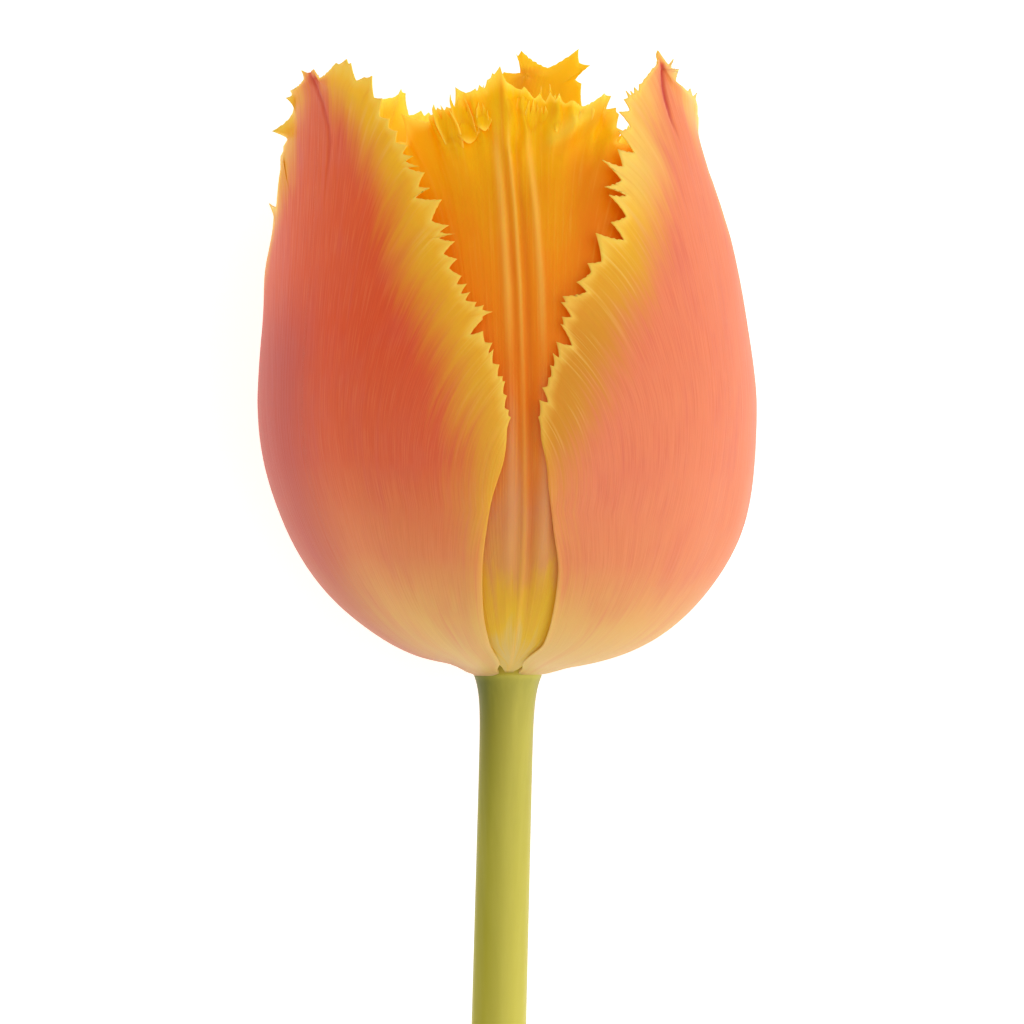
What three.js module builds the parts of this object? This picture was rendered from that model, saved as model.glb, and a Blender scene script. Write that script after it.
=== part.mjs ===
// A cut fringed tulip, laid down on a table: stem, three outer and three inner tepals
// with toothed margins, pistil and six stamens. Millimetres, +Z up, table at z = 0.
//
// The bloom is worked out upright first: its axis is +z, the base of the tepals is at
// z = 0 and its front is -y. layDown() then turns it on its back with the mouth to +Y.

import * as THREE from 'three';

// ---- driving dimensions -------------------------------------------------------------

const BELLY_RADIUS = 31.2;      // widest outside radius of the bloom
const BELLY_HEIGHT = 34;        // height of that widest place over the base
const FULLNESS = 0.4;           // the smaller, the broader the bottom of the cup
const LEAN_POWER = 1.4;         // how the wall draws in above the belly

const BLADE = 0.75;             // thickness of a tepal in its middle
const MARGIN = 0.6;             // thickness at its edge and in its teeth
const INNER_DEPTH = 1.25;       // how far inside the cup's surface the inner whorl lies
const FRINGE_START = 31;        // height at which the teeth begin
const OUTER_NIB = 1.9;          // the pointed tip of an outer tepal over its outline
const INNER_NIB = 0.9;

const RISE = THREE.MathUtils.degToRad(9);   // the mouth points up from the table by this
const PRESS = 0.9;              // how much the belly is pressed flat by the table

const STEM_LENGTH = 175;
const STEM_RADIUS = 3.25;       // just under the bloom
const STEM_END_RADIUS = 3.75;
const STEM_FLARE = 0.95;        // extra radius where the stem meets the bloom
const STEM_DRIFT = 0.026;       // sideways run per millimetre of stem
const CUT_SLOPE = 0.55;         // slope of the cut at the end of the stem
const SEAT_RADIUS = 3.92;       // the receptacle that the tepals stand round
const SEAT_TOP = 2.3;
const SEAM = 0.3;               // gap between pieces that touch

const PISTIL_HEIGHT = 19;
const PISTIL_RADIUS = 3.1;
const STAMEN_RING = 3.05;       // radius of the ring of filament feet
const FILAMENT_LENGTH = 10;
const ANTHER_LENGTH = 12;

// ---- the two outlines, as [angle from the midrib in degrees, height] ------------------

const OUTER_OUTLINE = [
  [46.5, 0.12], [47, 3], [48, 8], [49.3, 14], [52, 21.5], [55, 30], [53.3, 37.5],
  [45, 47], [36.2, 55.5], [30, 63], [28, 68.5], [20.5, 72.2], [9, 74.8], [0, 75.8],
];
const INNER_OUTLINE = [
  [34, 0.12], [35, 3], [38, 8], [41, 14], [44, 21.5], [46, 30], [46.5, 38],
  [45, 47], [43.5, 54], [41, 61], [37, 66.5], [28, 70.5], [14, 72.4], [0, 73],
];
// height on the midrib of the row that ends at each outline point of an outer tepal
const MIDRIB_HEIGHTS = [0.12, 2.6, 7, 12.5, 19, 26, 33, 40, 47, 53.5, 60, 66, 70.5, 75.8];

const ROWS = 16;
const ROW_CROWDING = 1.2;       // rows lie closer together towards the claw
const OUTER_COLUMNS = [0, 0.06, 0.24, 0.43, 0.62, 0.81];
const INNER_COLUMNS = [0, 0.045, 0.09, 0.17, 0.33, 0.5, 0.67, 0.84];

// centre: direction of the midrib, degrees from the front to the right
// lean: how strongly the upper part draws in; twist: how far the tip wanders, degrees
// reach: its height as a share of the outline's; breadth: its width near the tip, likewise
// spikes: chance of a long spike instead of a tooth, on its right and its left margin
const TEPALS = [
  {
    name: 'outer_tepal_left', whorl: 'outer', seed: 3,
    centre: -54.5, lean: 0.025, twist: -8, reach: 0.985, breadth: 1.04, spikes: [0.45, 0.95],
  },
  {
    name: 'outer_tepal_right', whorl: 'outer', seed: 17,
    centre: 63.5, lean: 0.047, twist: -4.5, reach: 1, breadth: 0.88, spikes: [0.5, 0.2],
  },
  {
    name: 'outer_tepal_back', whorl: 'outer', seed: 31,
    centre: 180, lean: 0.03, twist: -6, reach: 0.995, breadth: 1.06, spikes: [0.7, 0.7],
  },
  {
    name: 'inner_tepal_front', whorl: 'inner', seed: 47,
    centre: 4, lean: 0.052, twist: 0, reach: 0.99, breadth: 1, spikes: [0.5, 0.5],
  },
  {
    name: 'inner_tepal_left', whorl: 'inner', seed: 61,
    centre: -117, lean: 0.042, twist: 3, reach: 0.985, breadth: 1, spikes: [0.35, 0.35],
  },
  {
    name: 'inner_tepal_right', whorl: 'inner', seed: 79,
    centre: 123, lean: 0.06, twist: 2, reach: 0.975, breadth: 1, spikes: [0.35, 0.35],
  },
];

const COLOURS = {
  outer: { color: '#e8694a', roughness: 0.5 },
  inner: { color: '#eb9d1e', roughness: 0.5 },
  stem: { color: '#a8a53a', roughness: 0.45 },
  ovary: { color: '#b9c45a', roughness: 0.5 },
  stigma: { color: '#e6d98a', roughness: 0.7 },
  filament: { color: '#e3d37a', roughness: 0.6 },
  anther: { color: '#4a3038', roughness: 0.8 },
};

// ---- small helpers -------------------------------------------------------------------

const radians = THREE.MathUtils.degToRad;
const mix = THREE.MathUtils.lerp;
const smooth = (x, from, to) => THREE.MathUtils.smoothstep(x, from, to);

// a fixed draw between 0 and 1 for every number n
function draw(n) {
  const value = Math.sin(n * 12.9898) * 43758.5453;
  return value - Math.floor(value);
}

// ---- the cup's surface ---------------------------------------------------------------

// outside radius of the cup at height z
function cupRadius(z, lean) {
  if (z < BELLY_HEIGHT) {
    return BELLY_RADIUS * (1 - (1 - z / BELLY_HEIGHT) ** 2) ** FULLNESS;
  }
  return BELLY_RADIUS - lean * (z - BELLY_HEIGHT) ** LEAN_POWER;
}

// how far a tepal's surface stands out from the cup, at a distance across the midrib;
// edge runs from 0 on the midrib to 1 on the margin, which flares outwards
function relief(tepal, across, z, edge) {
  if (tepal.whorl === 'outer') {
    const groove = Math.exp(-((across / 1.2) ** 2)) * smooth(z, 60, 74);
    return 0.9 * edge ** 4 * smooth(z, 36, 60) - 0.7 * groove;
  }
  const pleat = Math.cos(2 * Math.PI * across / 2.1) * Math.exp(-((across / 2.4) ** 2));
  const frill = Math.sin(2 * Math.PI * across / 9 + tepal.seed) * smooth(z, 56, 72);
  const flare = edge ** 4 * smooth(z, 44, 66);
  return 0.38 * pleat * smooth(z, 3, 14) * (1 - smooth(z, 64, 71)) + 0.8 * frill + 0.5 * flare;
}

// a point of the upright bloom: angle from the midrib in degrees, height, and depth
// under the cup's surface measured square to it
function onCup(tepal, angle, z, depth) {
  const height = Math.max(z, 0.05);
  const radius = cupRadius(height, tepal.lean);
  const step = 0.01;
  const slope = (cupRadius(height + step, tepal.lean) - cupRadius(height - step, tepal.lean)) / (2 * step);
  const square = Math.hypot(1, slope);
  const away = radius - depth / square;
  const wander = tepal.twist * Math.max(0, (z - BELLY_HEIGHT) / 42) ** 4;
  const turn = radians(tepal.centre + angle + wander);
  return new THREE.Vector3(away * Math.sin(turn), -away * Math.cos(turn), z + depth * slope / square);
}

// ---- laying the bloom down -------------------------------------------------------------

// depth of the belly under the bloom's base point when the axis rises by RISE
let bellyDrop = 0;
for (let z = 1; z < 60; z += 0.25) {
  bellyDrop = Math.max(bellyDrop, cupRadius(z, 0.03) * Math.cos(RISE) - z * Math.sin(RISE));
}
const BASE_HEIGHT = bellyDrop - PRESS;
const REST_FORWARD = 29.5;      // from the bloom's base to the middle of the flat spot

function layDown(point) {
  return new THREE.Vector3(
    point.x,
    point.z * Math.cos(RISE) + point.y * Math.sin(RISE) - REST_FORWARD,
    point.z * Math.sin(RISE) - point.y * Math.cos(RISE) + BASE_HEIGHT,
  );
}

// the same for a point of a tepal, whose skin the table pushes up to z = 0
function layTepal(tepal, angle, z, depth) {
  const point = layDown(onCup(tepal, angle, z, depth));
  const skin = layDown(onCup(tepal, angle, z, 0));
  point.z += Math.max(0, -skin.z);
  return point;
}

// ---- building solids --------------------------------------------------------------------

function makeMesh(name, points, triangles, look) {
  const volume = triangles.reduce((sum, [a, b, c]) => {
    return sum + points[a].dot(new THREE.Vector3().crossVectors(points[b], points[c]));
  }, 0);
  const facing = volume > 0 ? triangles : triangles.map(([a, b, c]) => [a, c, b]);
  const geometry = new THREE.BufferGeometry();
  geometry.setAttribute('position', new THREE.Float32BufferAttribute(points.flatMap((p) => p.toArray()), 3));
  geometry.setIndex(facing.flat());
  geometry.computeVertexNormals();
  const mesh = new THREE.Mesh(geometry, new THREE.MeshStandardMaterial({ ...look, metalness: 0 }));
  mesh.name = name;
  return mesh;
}

// two faces of one sheet, joined by a wall along every edge that only one triangle uses
function thicken(outside, inside, sheet) {
  const count = outside.length;
  const triangles = [];
  const uses = new Map();
  for (const [a, b, c] of sheet) {
    triangles.push([a, b, c], [a + count, c + count, b + count]);
    for (const [from, to] of [[a, b], [b, c], [c, a]]) {
      const key = Math.min(from, to) * count + Math.max(from, to);
      uses.set(key, uses.has(key) ? null : [from, to]);
    }
  }
  for (const edge of uses.values()) {
    if (edge === null) continue;
    const [from, to] = edge;
    triangles.push([to, from, from + count], [to, from + count, to + count]);
  }
  return { points: [...outside, ...inside], triangles };
}

// triangles between two chains of points, each ordered by its place t along the tepal
function zip(near, far) {
  const triangles = [];
  let i = 0;
  let j = 0;
  while (i < near.length - 1 || j < far.length - 1) {
    const nearNext = i < near.length - 1 ? near[i + 1].t : Infinity;
    const farNext = j < far.length - 1 ? far[j + 1].t : Infinity;
    if (nearNext < farNext) {
      triangles.push([near[i].index, far[j].index, near[i + 1].index]);
      i += 1;
    } else {
      triangles.push([near[i].index, far[j].index, far[j + 1].index]);
      j += 1;
    }
  }
  return triangles.filter(([a, b, c]) => a !== b && b !== c && a !== c);
}

// ---- tepals ---------------------------------------------------------------------------------

// the waist of a tooth, as [half its width, height], both as shares of the tooth's own
const TOOTH_RUNGS = [[0.22, 0.32]];
const SPIKE_RUNGS = [[0.3, 0.12], [0.11, 0.42]];

// the outline of one tepal: distance from the midrib and height at its place t
function rimAt(tepal, outline, t) {
  const { x, y } = outline.getPoint(t);
  const z = y * tepal.reach;
  const angle = x * mix(1, tepal.breadth, smooth(z, 48, 68));
  return { t, z, across: radians(angle) * cupRadius(z, tepal.lean) };
}

// the toothed stretch of one margin, and its teeth from the lowest to the apex; towards
// the apex some give way to a long thin spike between two broad hollows
function teethAlong(tepal, outline, side) {
  const samples = [];
  let run = 0;
  for (let k = 0; k <= 400; k += 1) {
    const rim = rimAt(tepal, outline, k / 400);
    if (samples.length) run += Math.hypot(rim.across - samples.at(-1).across, rim.z - samples.at(-1).z);
    if (rim.z >= FRINGE_START || samples.length) samples.push({ ...rim, run });
  }
  const teeth = [];
  let n = tepal.seed + (side > 0 ? 0.25 : 0.5);
  let start = 0;
  while (start < run) {
    n += 1;
    const spike = start / run > 0.44 && draw(n + 0.83) < tepal.spikes[side > 0 ? 0 : 1];
    const wide = spike ? mix(2.8, 4.4, draw(n)) : mix(1.1, 2.2, draw(n));
    const end = run - start - wide < 1.3 ? run : start + wide;
    const length = spike ? mix(2.1, 3, draw(n + 0.31)) : mix(0.8, 2.4, draw(n + 0.31));
    teeth.push({
      start,
      end,
      length: length * smooth(start, -3, 9),
      place: mix(0.38, 0.62, draw(n + 0.47)),
      rungs: spike ? SPIKE_RUNGS : TOOTH_RUNGS,
      tilt: radians(mix(-12, 26, draw(n + 0.59))),
      curl: mix(-0.8, 1, draw(n + 0.67)) * mix(0.2, 1.2, smooth(start, 3, 26)),
    });
    start = end;
  }
  return { samples, teeth, run };
}

// the margin's place, and its direction towards the apex, after a given run along it
function sampleAt(samples, run) {
  const next = samples.findIndex((s) => s.run >= run - 1e-9);
  const b = samples[Math.max(next, 1)];
  const a = samples[Math.max(next, 1) - 1];
  const share = (run - a.run) / (b.run - a.run);
  const size = Math.hypot(b.across - a.across, b.z - a.z);
  return {
    t: mix(a.t, b.t, share),
    across: mix(a.across, b.across, share),
    z: mix(a.z, b.z, share),
    along: [(b.across - a.across) / size, (b.z - a.z) / size],
  };
}

// one sheet of triangles over the tepal, given a thickness and wrapped onto the cup
function makeTepal(tepal) {
  const outer = tepal.whorl === 'outer';
  const shape = outer ? OUTER_OUTLINE : INNER_OUTLINE;
  const columns = outer ? OUTER_COLUMNS : INNER_COLUMNS;
  const outline = new THREE.SplineCurve(shape.map(([angle, z]) => new THREE.Vector2(angle, z)));
  const top = shape.at(-1)[1];
  const shorter = top / MIDRIB_HEIGHTS.at(-1);
  const spine = new THREE.SplineCurve(MIDRIB_HEIGHTS.map((z, k) => new THREE.Vector2(k, z * shorter)));

  const spots = [];             // { angle, z, across, lift, edge }
  const sheet = [];
  const addSpot = (across, z, lift, edge) => {
    const angle = THREE.MathUtils.radToDeg(across / cupRadius(z, tepal.lean));
    spots.push({ angle, z, across, lift, edge });
    return spots.length - 1;
  };

  const apex = addSpot(0, top * tepal.reach + (outer ? OUTER_NIB : INNER_NIB), 0, 1);
  const spineChain = [];
  for (const side of [1, -1]) {
    const turnOver = (triangle) => (side > 0 ? triangle : [triangle[0], triangle[2], triangle[1]]);

    // columns from the midrib outwards, each a chain from the claw to the apex
    let inner = null;
    for (const u of columns) {
      const chain = [];
      for (let row = 0; row < ROWS; row += 1) {
        const t = (row / ROWS) ** ROW_CROWDING;
        if (u === 0 && side < 0) {
          chain.push(spineChain[row]);
          continue;
        }
        const rim = rimAt(tepal, outline, t);
        const z = mix(spine.getPoint(t).y * tepal.reach, rim.z, u * u);
        const share = u * cupRadius(z, tepal.lean) / cupRadius(rim.z, tepal.lean);
        chain.push({ t, index: addSpot(side * share * rim.across, z, 0, u) });
      }
      if (u === 0 && side > 0) spineChain.push(...chain);
      const whole = [...chain, { t: 1, index: apex }];
      if (inner) sheet.push(...zip(inner, whole).map(turnOver));
      inner = whole;
    }

    // the margin: plain below the fringe, toothed above it
    const { samples, teeth, run } = teethAlong(tepal, outline, side);
    const rimChain = [];
    const fringeT = samples[0].t;
    for (let row = 0; (row / ROWS) ** ROW_CROWDING < fringeT - 0.02; row += 1) {
      const { t, across, z } = rimAt(tepal, outline, (row / ROWS) ** ROW_CROWDING);
      rimChain.push({ t, index: addSpot(side * across, z, 0, 1) });
    }
    const fringe = (along, length, tilt, curl) => {
      const spot = sampleAt(samples, Math.min(along, run));
      const [ta, tz] = spot.along;
      const out = length * Math.cos(tilt);
      const up = length * Math.sin(tilt);
      return {
        t: spot.t,
        index: addSpot(side * (spot.across + out * tz + up * ta), spot.z - out * ta + up * tz, curl, 1),
      };
    };
    const valleys = teeth.map((tooth) => fringe(tooth.start, 0, 0, 0));
    rimChain.push(...valleys, { t: 1, index: apex });
    sheet.push(...zip(inner, rimChain).map(turnOver));
    teeth.forEach(({ start, end, length, place, rungs, tilt, curl }, k) => {
      if (end === run) return;
      let [low, high] = [valleys[k].index, valleys[k + 1].index];
      for (const [half, rise] of rungs) {
        const nextLow = fringe(mix(start, end, place - half), rise * length, tilt, rise * rise * curl).index;
        const nextHigh = fringe(mix(start, end, place + half), rise * length, tilt, rise * rise * curl).index;
        sheet.push(...[[low, nextLow, nextHigh], [low, nextHigh, high]].map(turnOver));
        [low, high] = [nextLow, nextHigh];
      }
      const tip = fringe(mix(start, end, place), length, tilt, curl).index;
      sheet.push(turnOver([low, tip, high]));
    });
  }

  const depth = outer ? 0 : INNER_DEPTH;
  const faces = [0, 1].map((inside) => spots.map(({ angle, z, across, lift, edge }) => {
    const thick = mix(BLADE, MARGIN, edge * edge);
    const stand = relief(tepal, across, z, edge) + lift;
    return layTepal(tepal, angle, z, depth - stand + inside * thick);
  }));
  const { points, triangles } = thicken(faces[0], faces[1], sheet);
  return makeMesh(tepal.name, points, triangles, COLOURS[tepal.whorl]);
}

// ---- round pieces: rings of points along a line, closed at both ends -------------------------

function makeRound(name, rings, look) {
  const around = rings[0].length;
  const points = rings.flat();
  const triangles = [];
  for (let k = 0; k + 1 < rings.length; k += 1) {
    for (let i = 0; i < around; i += 1) {
      const a = k * around + i;
      const b = k * around + (i + 1) % around;
      triangles.push([a, b, b + around], [a, b + around, a + around]);
    }
  }
  for (const [ring, flip] of [[0, true], [rings.length - 1, false]]) {
    const centre = new THREE.Vector3();
    rings[ring].forEach((point) => centre.addScaledVector(point, 1 / around));
    points.push(centre);
    for (let i = 0; i < around; i += 1) {
      const a = ring * around + i;
      const b = ring * around + (i + 1) % around;
      triangles.push(flip ? [b, a, points.length - 1] : [a, b, points.length - 1]);
    }
  }
  return makeMesh(name, points, triangles, look);
}

// the stem sinks to the table and ends in a slanting cut whose long side lies on it
function makeStem() {
  const around = 20;
  const cutReach = STEM_END_RADIUS * CUT_SLOPE;
  const contact = STEM_LENGTH + cutReach;
  const fall = (BASE_HEIGHT - contact * Math.sin(RISE)) / Math.cos(RISE) - STEM_END_RADIUS;
  const endBow = fall * (STEM_LENGTH / contact) ** 2;
  const centreLine = (w) => {
    const below = Math.max(0, w);
    return [-STEM_DRIFT * below, endBow * (below / STEM_LENGTH) ** 2];
  };
  const profile = [
    [-SEAT_TOP, SEAT_RADIUS * 0.55], [-SEAT_TOP, SEAT_RADIUS * 0.94], [0.55 - SEAT_TOP, SEAT_RADIUS],
    [-0.1, SEAT_RADIUS], [SEAM - 0.1, SEAT_RADIUS + 0.15],
  ];
  for (const w of [0.55, 1.2, 2.1, 3.2, 4.6, 7, 12, 22, 36, 52, 70, 88, 106, 124, 142, 158, 168]) {
    const flare = STEM_FLARE * Math.exp(-((w / 3) ** 2));
    profile.push([w, mix(STEM_RADIUS, STEM_END_RADIUS, w / STEM_LENGTH) + flare]);
  }
  profile.push([STEM_LENGTH, STEM_END_RADIUS]);
  const rings = profile.map(([w, radius], k) => {
    const last = k === profile.length - 1;
    return Array.from({ length: around }, (_, i) => {
      const turn = 2 * Math.PI * i / around;
      const reach = last ? w + CUT_SLOPE * radius * Math.sin(turn) : w;
      const [x, y] = centreLine(reach);
      return layDown(new THREE.Vector3(x + radius * Math.cos(turn), y + radius * Math.sin(turn), -reach));
    });
  });
  return makeRound('stem', rings, COLOURS.stem);
}

// a three-sided column: its radius swells by lobe in three directions
function triangularRing(radius, lobe, z, around) {
  return Array.from({ length: around }, (_, i) => {
    const turn = 2 * Math.PI * i / around;
    const r = radius * (1 + lobe * Math.cos(3 * turn));
    return layDown(new THREE.Vector3(r * Math.sin(turn), -r * Math.cos(turn), z));
  });
}

function makePistil() {
  const foot = SEAT_TOP + SEAM;
  const body = [[0, 0.6], [0.12, 0.82], [0.35, 1], [0.65, 0.98], [0.88, 0.82], [1, 0.7]];
  const ovary = body.map(([share, size]) => {
    return triangularRing(PISTIL_RADIUS * size, 0.1, foot + share * PISTIL_HEIGHT, 18);
  });
  const seat = foot + PISTIL_HEIGHT + SEAM;
  const cap = [[0, 0.75, 0.15], [1.2, 1.25, 0.32], [2.6, 1.3, 0.34], [3.4, 0.8, 0.25]];
  const stigma = cap.map(([up, size, lobe]) => {
    return triangularRing(PISTIL_RADIUS * size, lobe, seat + up, 24);
  });
  return [
    makeRound('ovary', ovary, COLOURS.ovary),
    makeRound('stigma', stigma, COLOURS.stigma),
  ];
}

// six stamens in a ring: a tapering filament that leans out, and the anther on its tip
function makeStamens() {
  const meshes = [];
  for (let k = 0; k < 6; k += 1) {
    const turn = radians(60 * k + 34);
    const lean = mix(0.26, 0.36, draw(k + 5));
    const length = FILAMENT_LENGTH * mix(0.9, 1.1, draw(k + 9));
    const ringAt = (up, wide, deep, start, around) => Array.from({ length: around }, (_, i) => {
      const spin = 2 * Math.PI * i / around;
      const r = STAMEN_RING + lean * Math.max(0, up) ** 1.1 + deep * Math.cos(spin);
      const side = wide * Math.sin(spin);
      return layDown(new THREE.Vector3(
        r * Math.sin(turn) + side * Math.cos(turn),
        -r * Math.cos(turn) + side * Math.sin(turn),
        SEAT_TOP + SEAM + start + up,
      ));
    });
    const filament = [[0, 0.5], [0.3, 0.62], [0.7, 0.5], [1, 0.34]].map(([share, r]) => {
      return ringAt(share * length, r, r, 0, 8);
    });
    const anther = [[0, 0.55], [0.1, 1], [0.5, 1.05], [0.85, 0.75], [1, 0.35]].map(([share, size]) => {
      return ringAt(length + SEAM + share * ANTHER_LENGTH, 1.15 * size, 0.8 * size, 0, 10);
    });
    meshes.push(makeRound(`filament_${k + 1}`, filament, COLOURS.filament));
    meshes.push(makeRound(`anther_${k + 1}`, anther, COLOURS.anther));
  }
  return meshes;
}

const tulip = new THREE.Group();
tulip.name = 'fringed_tulip';
tulip.add(makeStem());
tulip.add(...TEPALS.map(makeTepal));
tulip.add(...makePistil());
tulip.add(...makeStamens());

export default tulip;
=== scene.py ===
# %% [markdown]
# # A cut fringed tulip, laid down
#
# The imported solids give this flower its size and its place: a bloom of three outer and three
# inner tepals on a bare stem, lying on its back tepal. This lesson swaps the solids for finer
# surfaces of the same form and paints them. A fringed tulip can be modelled by sculpting, by
# shrink-wrapping card petals on a cup, or by formula. Here every tepal is a formula: a flat
# outline with teeth is laid on the surface of a cup, so one set of named numbers moves it all.

# %% Load the frame
import math

import bpy
import numpy as np
from mathutils import Matrix, Vector


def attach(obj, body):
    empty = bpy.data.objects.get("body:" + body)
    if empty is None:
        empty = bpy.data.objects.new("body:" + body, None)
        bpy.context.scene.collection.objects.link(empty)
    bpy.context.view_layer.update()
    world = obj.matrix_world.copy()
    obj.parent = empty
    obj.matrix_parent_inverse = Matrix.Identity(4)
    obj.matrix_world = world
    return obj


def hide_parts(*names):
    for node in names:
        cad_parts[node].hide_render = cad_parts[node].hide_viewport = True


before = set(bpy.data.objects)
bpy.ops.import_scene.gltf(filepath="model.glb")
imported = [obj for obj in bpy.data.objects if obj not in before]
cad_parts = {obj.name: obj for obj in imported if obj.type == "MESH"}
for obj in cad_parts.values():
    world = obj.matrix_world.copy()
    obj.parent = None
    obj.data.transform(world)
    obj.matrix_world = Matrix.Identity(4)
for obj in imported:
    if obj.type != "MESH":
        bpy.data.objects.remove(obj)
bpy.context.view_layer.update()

MM = 0.001

# %% [markdown]
# ## Small tools
#
# All shapes below are worked out in whole arrays. Five short functions do most of the blending:
# a straight mix, an eased step, a bell, a repeatable draw in place of a random number, and a
# curve through given points.

# %% Mix, ease, bell, draw and curve
def mix(a, b, share):
    """The value that lies a share of the way from a to b."""
    return a + (b - a) * share


def ease(x, low, high):
    """0 up to low, 1 from high on, and between them 3t² - 2t³ of the share t covered."""
    t = np.clip((np.asarray(x, float) - low) / (high - low), 0, 1)
    return t * t * (3 - 2 * t)


def bell(x, width):
    """exp(-(x/width)²): 1 in the middle, fading away to both sides."""
    return np.exp(-((x / width) ** 2))


def draw(n):
    """A fixed draw between 0 and 1: what follows the point in a large multiple of sin(n·12.9898)."""
    value = np.sin(np.asarray(n, float) * 12.9898) * 43758.5453
    return value - np.floor(value)


def curve_through(points, t):
    """Catmull-Rom: between two points the curve is the cubic whose slope at each of them is half
    the step from the point before it to the point after it. t runs from 0 to 1 over all points."""
    p = np.asarray(points, float)
    last = len(p) - 1
    place = np.clip(t, 0, 1) * last
    i = place.astype(int)
    w = (place - i)[:, None]
    before, here = p[np.maximum(i - 1, 0)], p[i]
    there, after = p[np.minimum(i + 1, last)], p[np.minimum(i + 2, last)]
    out, into = (there - before) / 2, (after - here) / 2
    return ((2 * here - 2 * there + out + into) * w**3
            + (3 * there - 3 * here - 2 * out - into) * w**2 + out * w + here)


# %% [markdown]
# ## The cup
#
# The tepals of a tulip share one shape, a cup that is broad below and draws in above its belly.
# A solid of revolution gives it: each height has one radius. Each tepal has its own lean, so
# that the cup opens more where its tepal does. Everything is worked out upright, in millimetres,
# and turned on its back at the end, as the flower lies.

# %% The cup's numbers
BELLY_RADIUS = 31.2     # widest outside radius
BELLY_HEIGHT = 34       # height of that place over the base of the bloom
FULLNESS = 0.4          # the smaller, the broader the bottom
LEAN_POWER = 1.4        # how the wall draws in above the belly
INNER_DEPTH = 1.25      # how far inside the cup the inner whorl lies
FRINGE_START = 31       # height at which the teeth begin
RISE = math.radians(9)  # the mouth points up from the table by this
PRESS = 0.9             # how much the table presses the belly flat
TWIST_SPAN = 42         # height over the belly after which a tip has all its twist
REST_FORWARD = 29.5     # from the bloom's base to the middle of the flat spot


def cup_radius(z, lean):
    """Below the belly the radius grows as a flattened circle, R(1 - (1 - z/H)²)^0.4. Above it,
    it shrinks by lean times the height over the belly to the power 1.4."""
    z = np.asarray(z, float)
    bowl = BELLY_RADIUS * (1 - (1 - np.clip(z, 0, BELLY_HEIGHT) / BELLY_HEIGHT) ** 2) ** FULLNESS
    return np.where(z < BELLY_HEIGHT, bowl,
                    BELLY_RADIUS - lean * np.maximum(z - BELLY_HEIGHT, 0) ** LEAN_POWER)


heights = np.arange(1, 60, 0.25)
BASE_HEIGHT = np.max(cup_radius(heights, 0.03) * math.cos(RISE) - heights * math.sin(RISE)) - PRESS
print(f"the bloom's base is {BASE_HEIGHT:.2f} mm over the table")


# %% On the cup, then on the table
def lay_down(x, y, z):
    """Turns upright points on their back: the bloom's axis z becomes +Y, risen by RISE."""
    return np.stack([x, z * math.cos(RISE) + y * math.sin(RISE) - REST_FORWARD,
                     z * math.sin(RISE) - y * math.cos(RISE) + BASE_HEIGHT], -1)


def on_cup(tepal, angle, z, depth):
    """The point at an angle from the midrib, at height z and at a depth under the cup, measured
    square to it: the radius loses depth/√(1+slope²), the height gains as much times the slope."""
    height = np.maximum(z, 0.05)
    below, above = (cup_radius(height + step, tepal["lean"]) for step in (-0.01, 0.01))
    slope = (above - below) / 0.02
    square = np.hypot(1, slope)
    away = cup_radius(height, tepal["lean"]) - depth / square
    wander = tepal["twist"] * np.maximum(0, (z - BELLY_HEIGHT) / TWIST_SPAN) ** 4
    turn = np.radians(tepal["centre"] + angle + wander)
    return away * np.sin(turn), -away * np.cos(turn), z + depth * slope / square


# %% [markdown]
# ## Outlines of the two whorls
#
# The outer tepals are broad in the middle and end in a point; the inner ones are blunter. Each
# half outline is a curve through points given as [angle from the midrib, height]. The heights
# on the midrib tell how far up the row starts that ends at each outline point.
#
# A tepal's own numbers are the angle of its midrib round the bloom, its lean and twist, its
# reach and breadth as shares of the outline, and how often spikes come on its right and left
# side. Some have trims of the outline, a margin tucked in, teeth that lie still on one side, a
# salmon colour with painted light and shade as if lit from the right, or a share that the claw
# is narrowed to.

# %% Outlines and the six tepals
OUTLINES = {
    "outer": [[48.5, 0.12], [47, 3], [48, 8], [49.3, 14], [52, 21.5], [55, 30], [53.3, 37.5], [45, 47],
              [36.2, 55.5], [30, 63], [28, 68.5], [20.5, 72.2], [9, 74.8], [0, 75.8]],
    "inner": [[34, 0.12], [35, 3], [38, 8], [41, 14], [44, 21.5], [46, 30], [46.5, 38], [45, 47],
              [43.5, 54], [41, 61], [37, 66.5], [28, 70.5], [14, 72.4], [0, 73]],
}
MIDRIB_HEIGHTS = np.array([0.12, 2.6, 7, 12.5, 19, 26, 33, 40, 47, 53.5, 60, 66, 70.5, 75.8])
NIB = {"outer": 1.9, "inner": 0.9}   # the pointed tip over the outline
PAINT_TOP = 80          # height at which the ramps of colour end
LOBE_HEIGHT, LOBE_SLOPE = 66.2, 1.36   # the smooth lobe at the top of the front inner tepal

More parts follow.
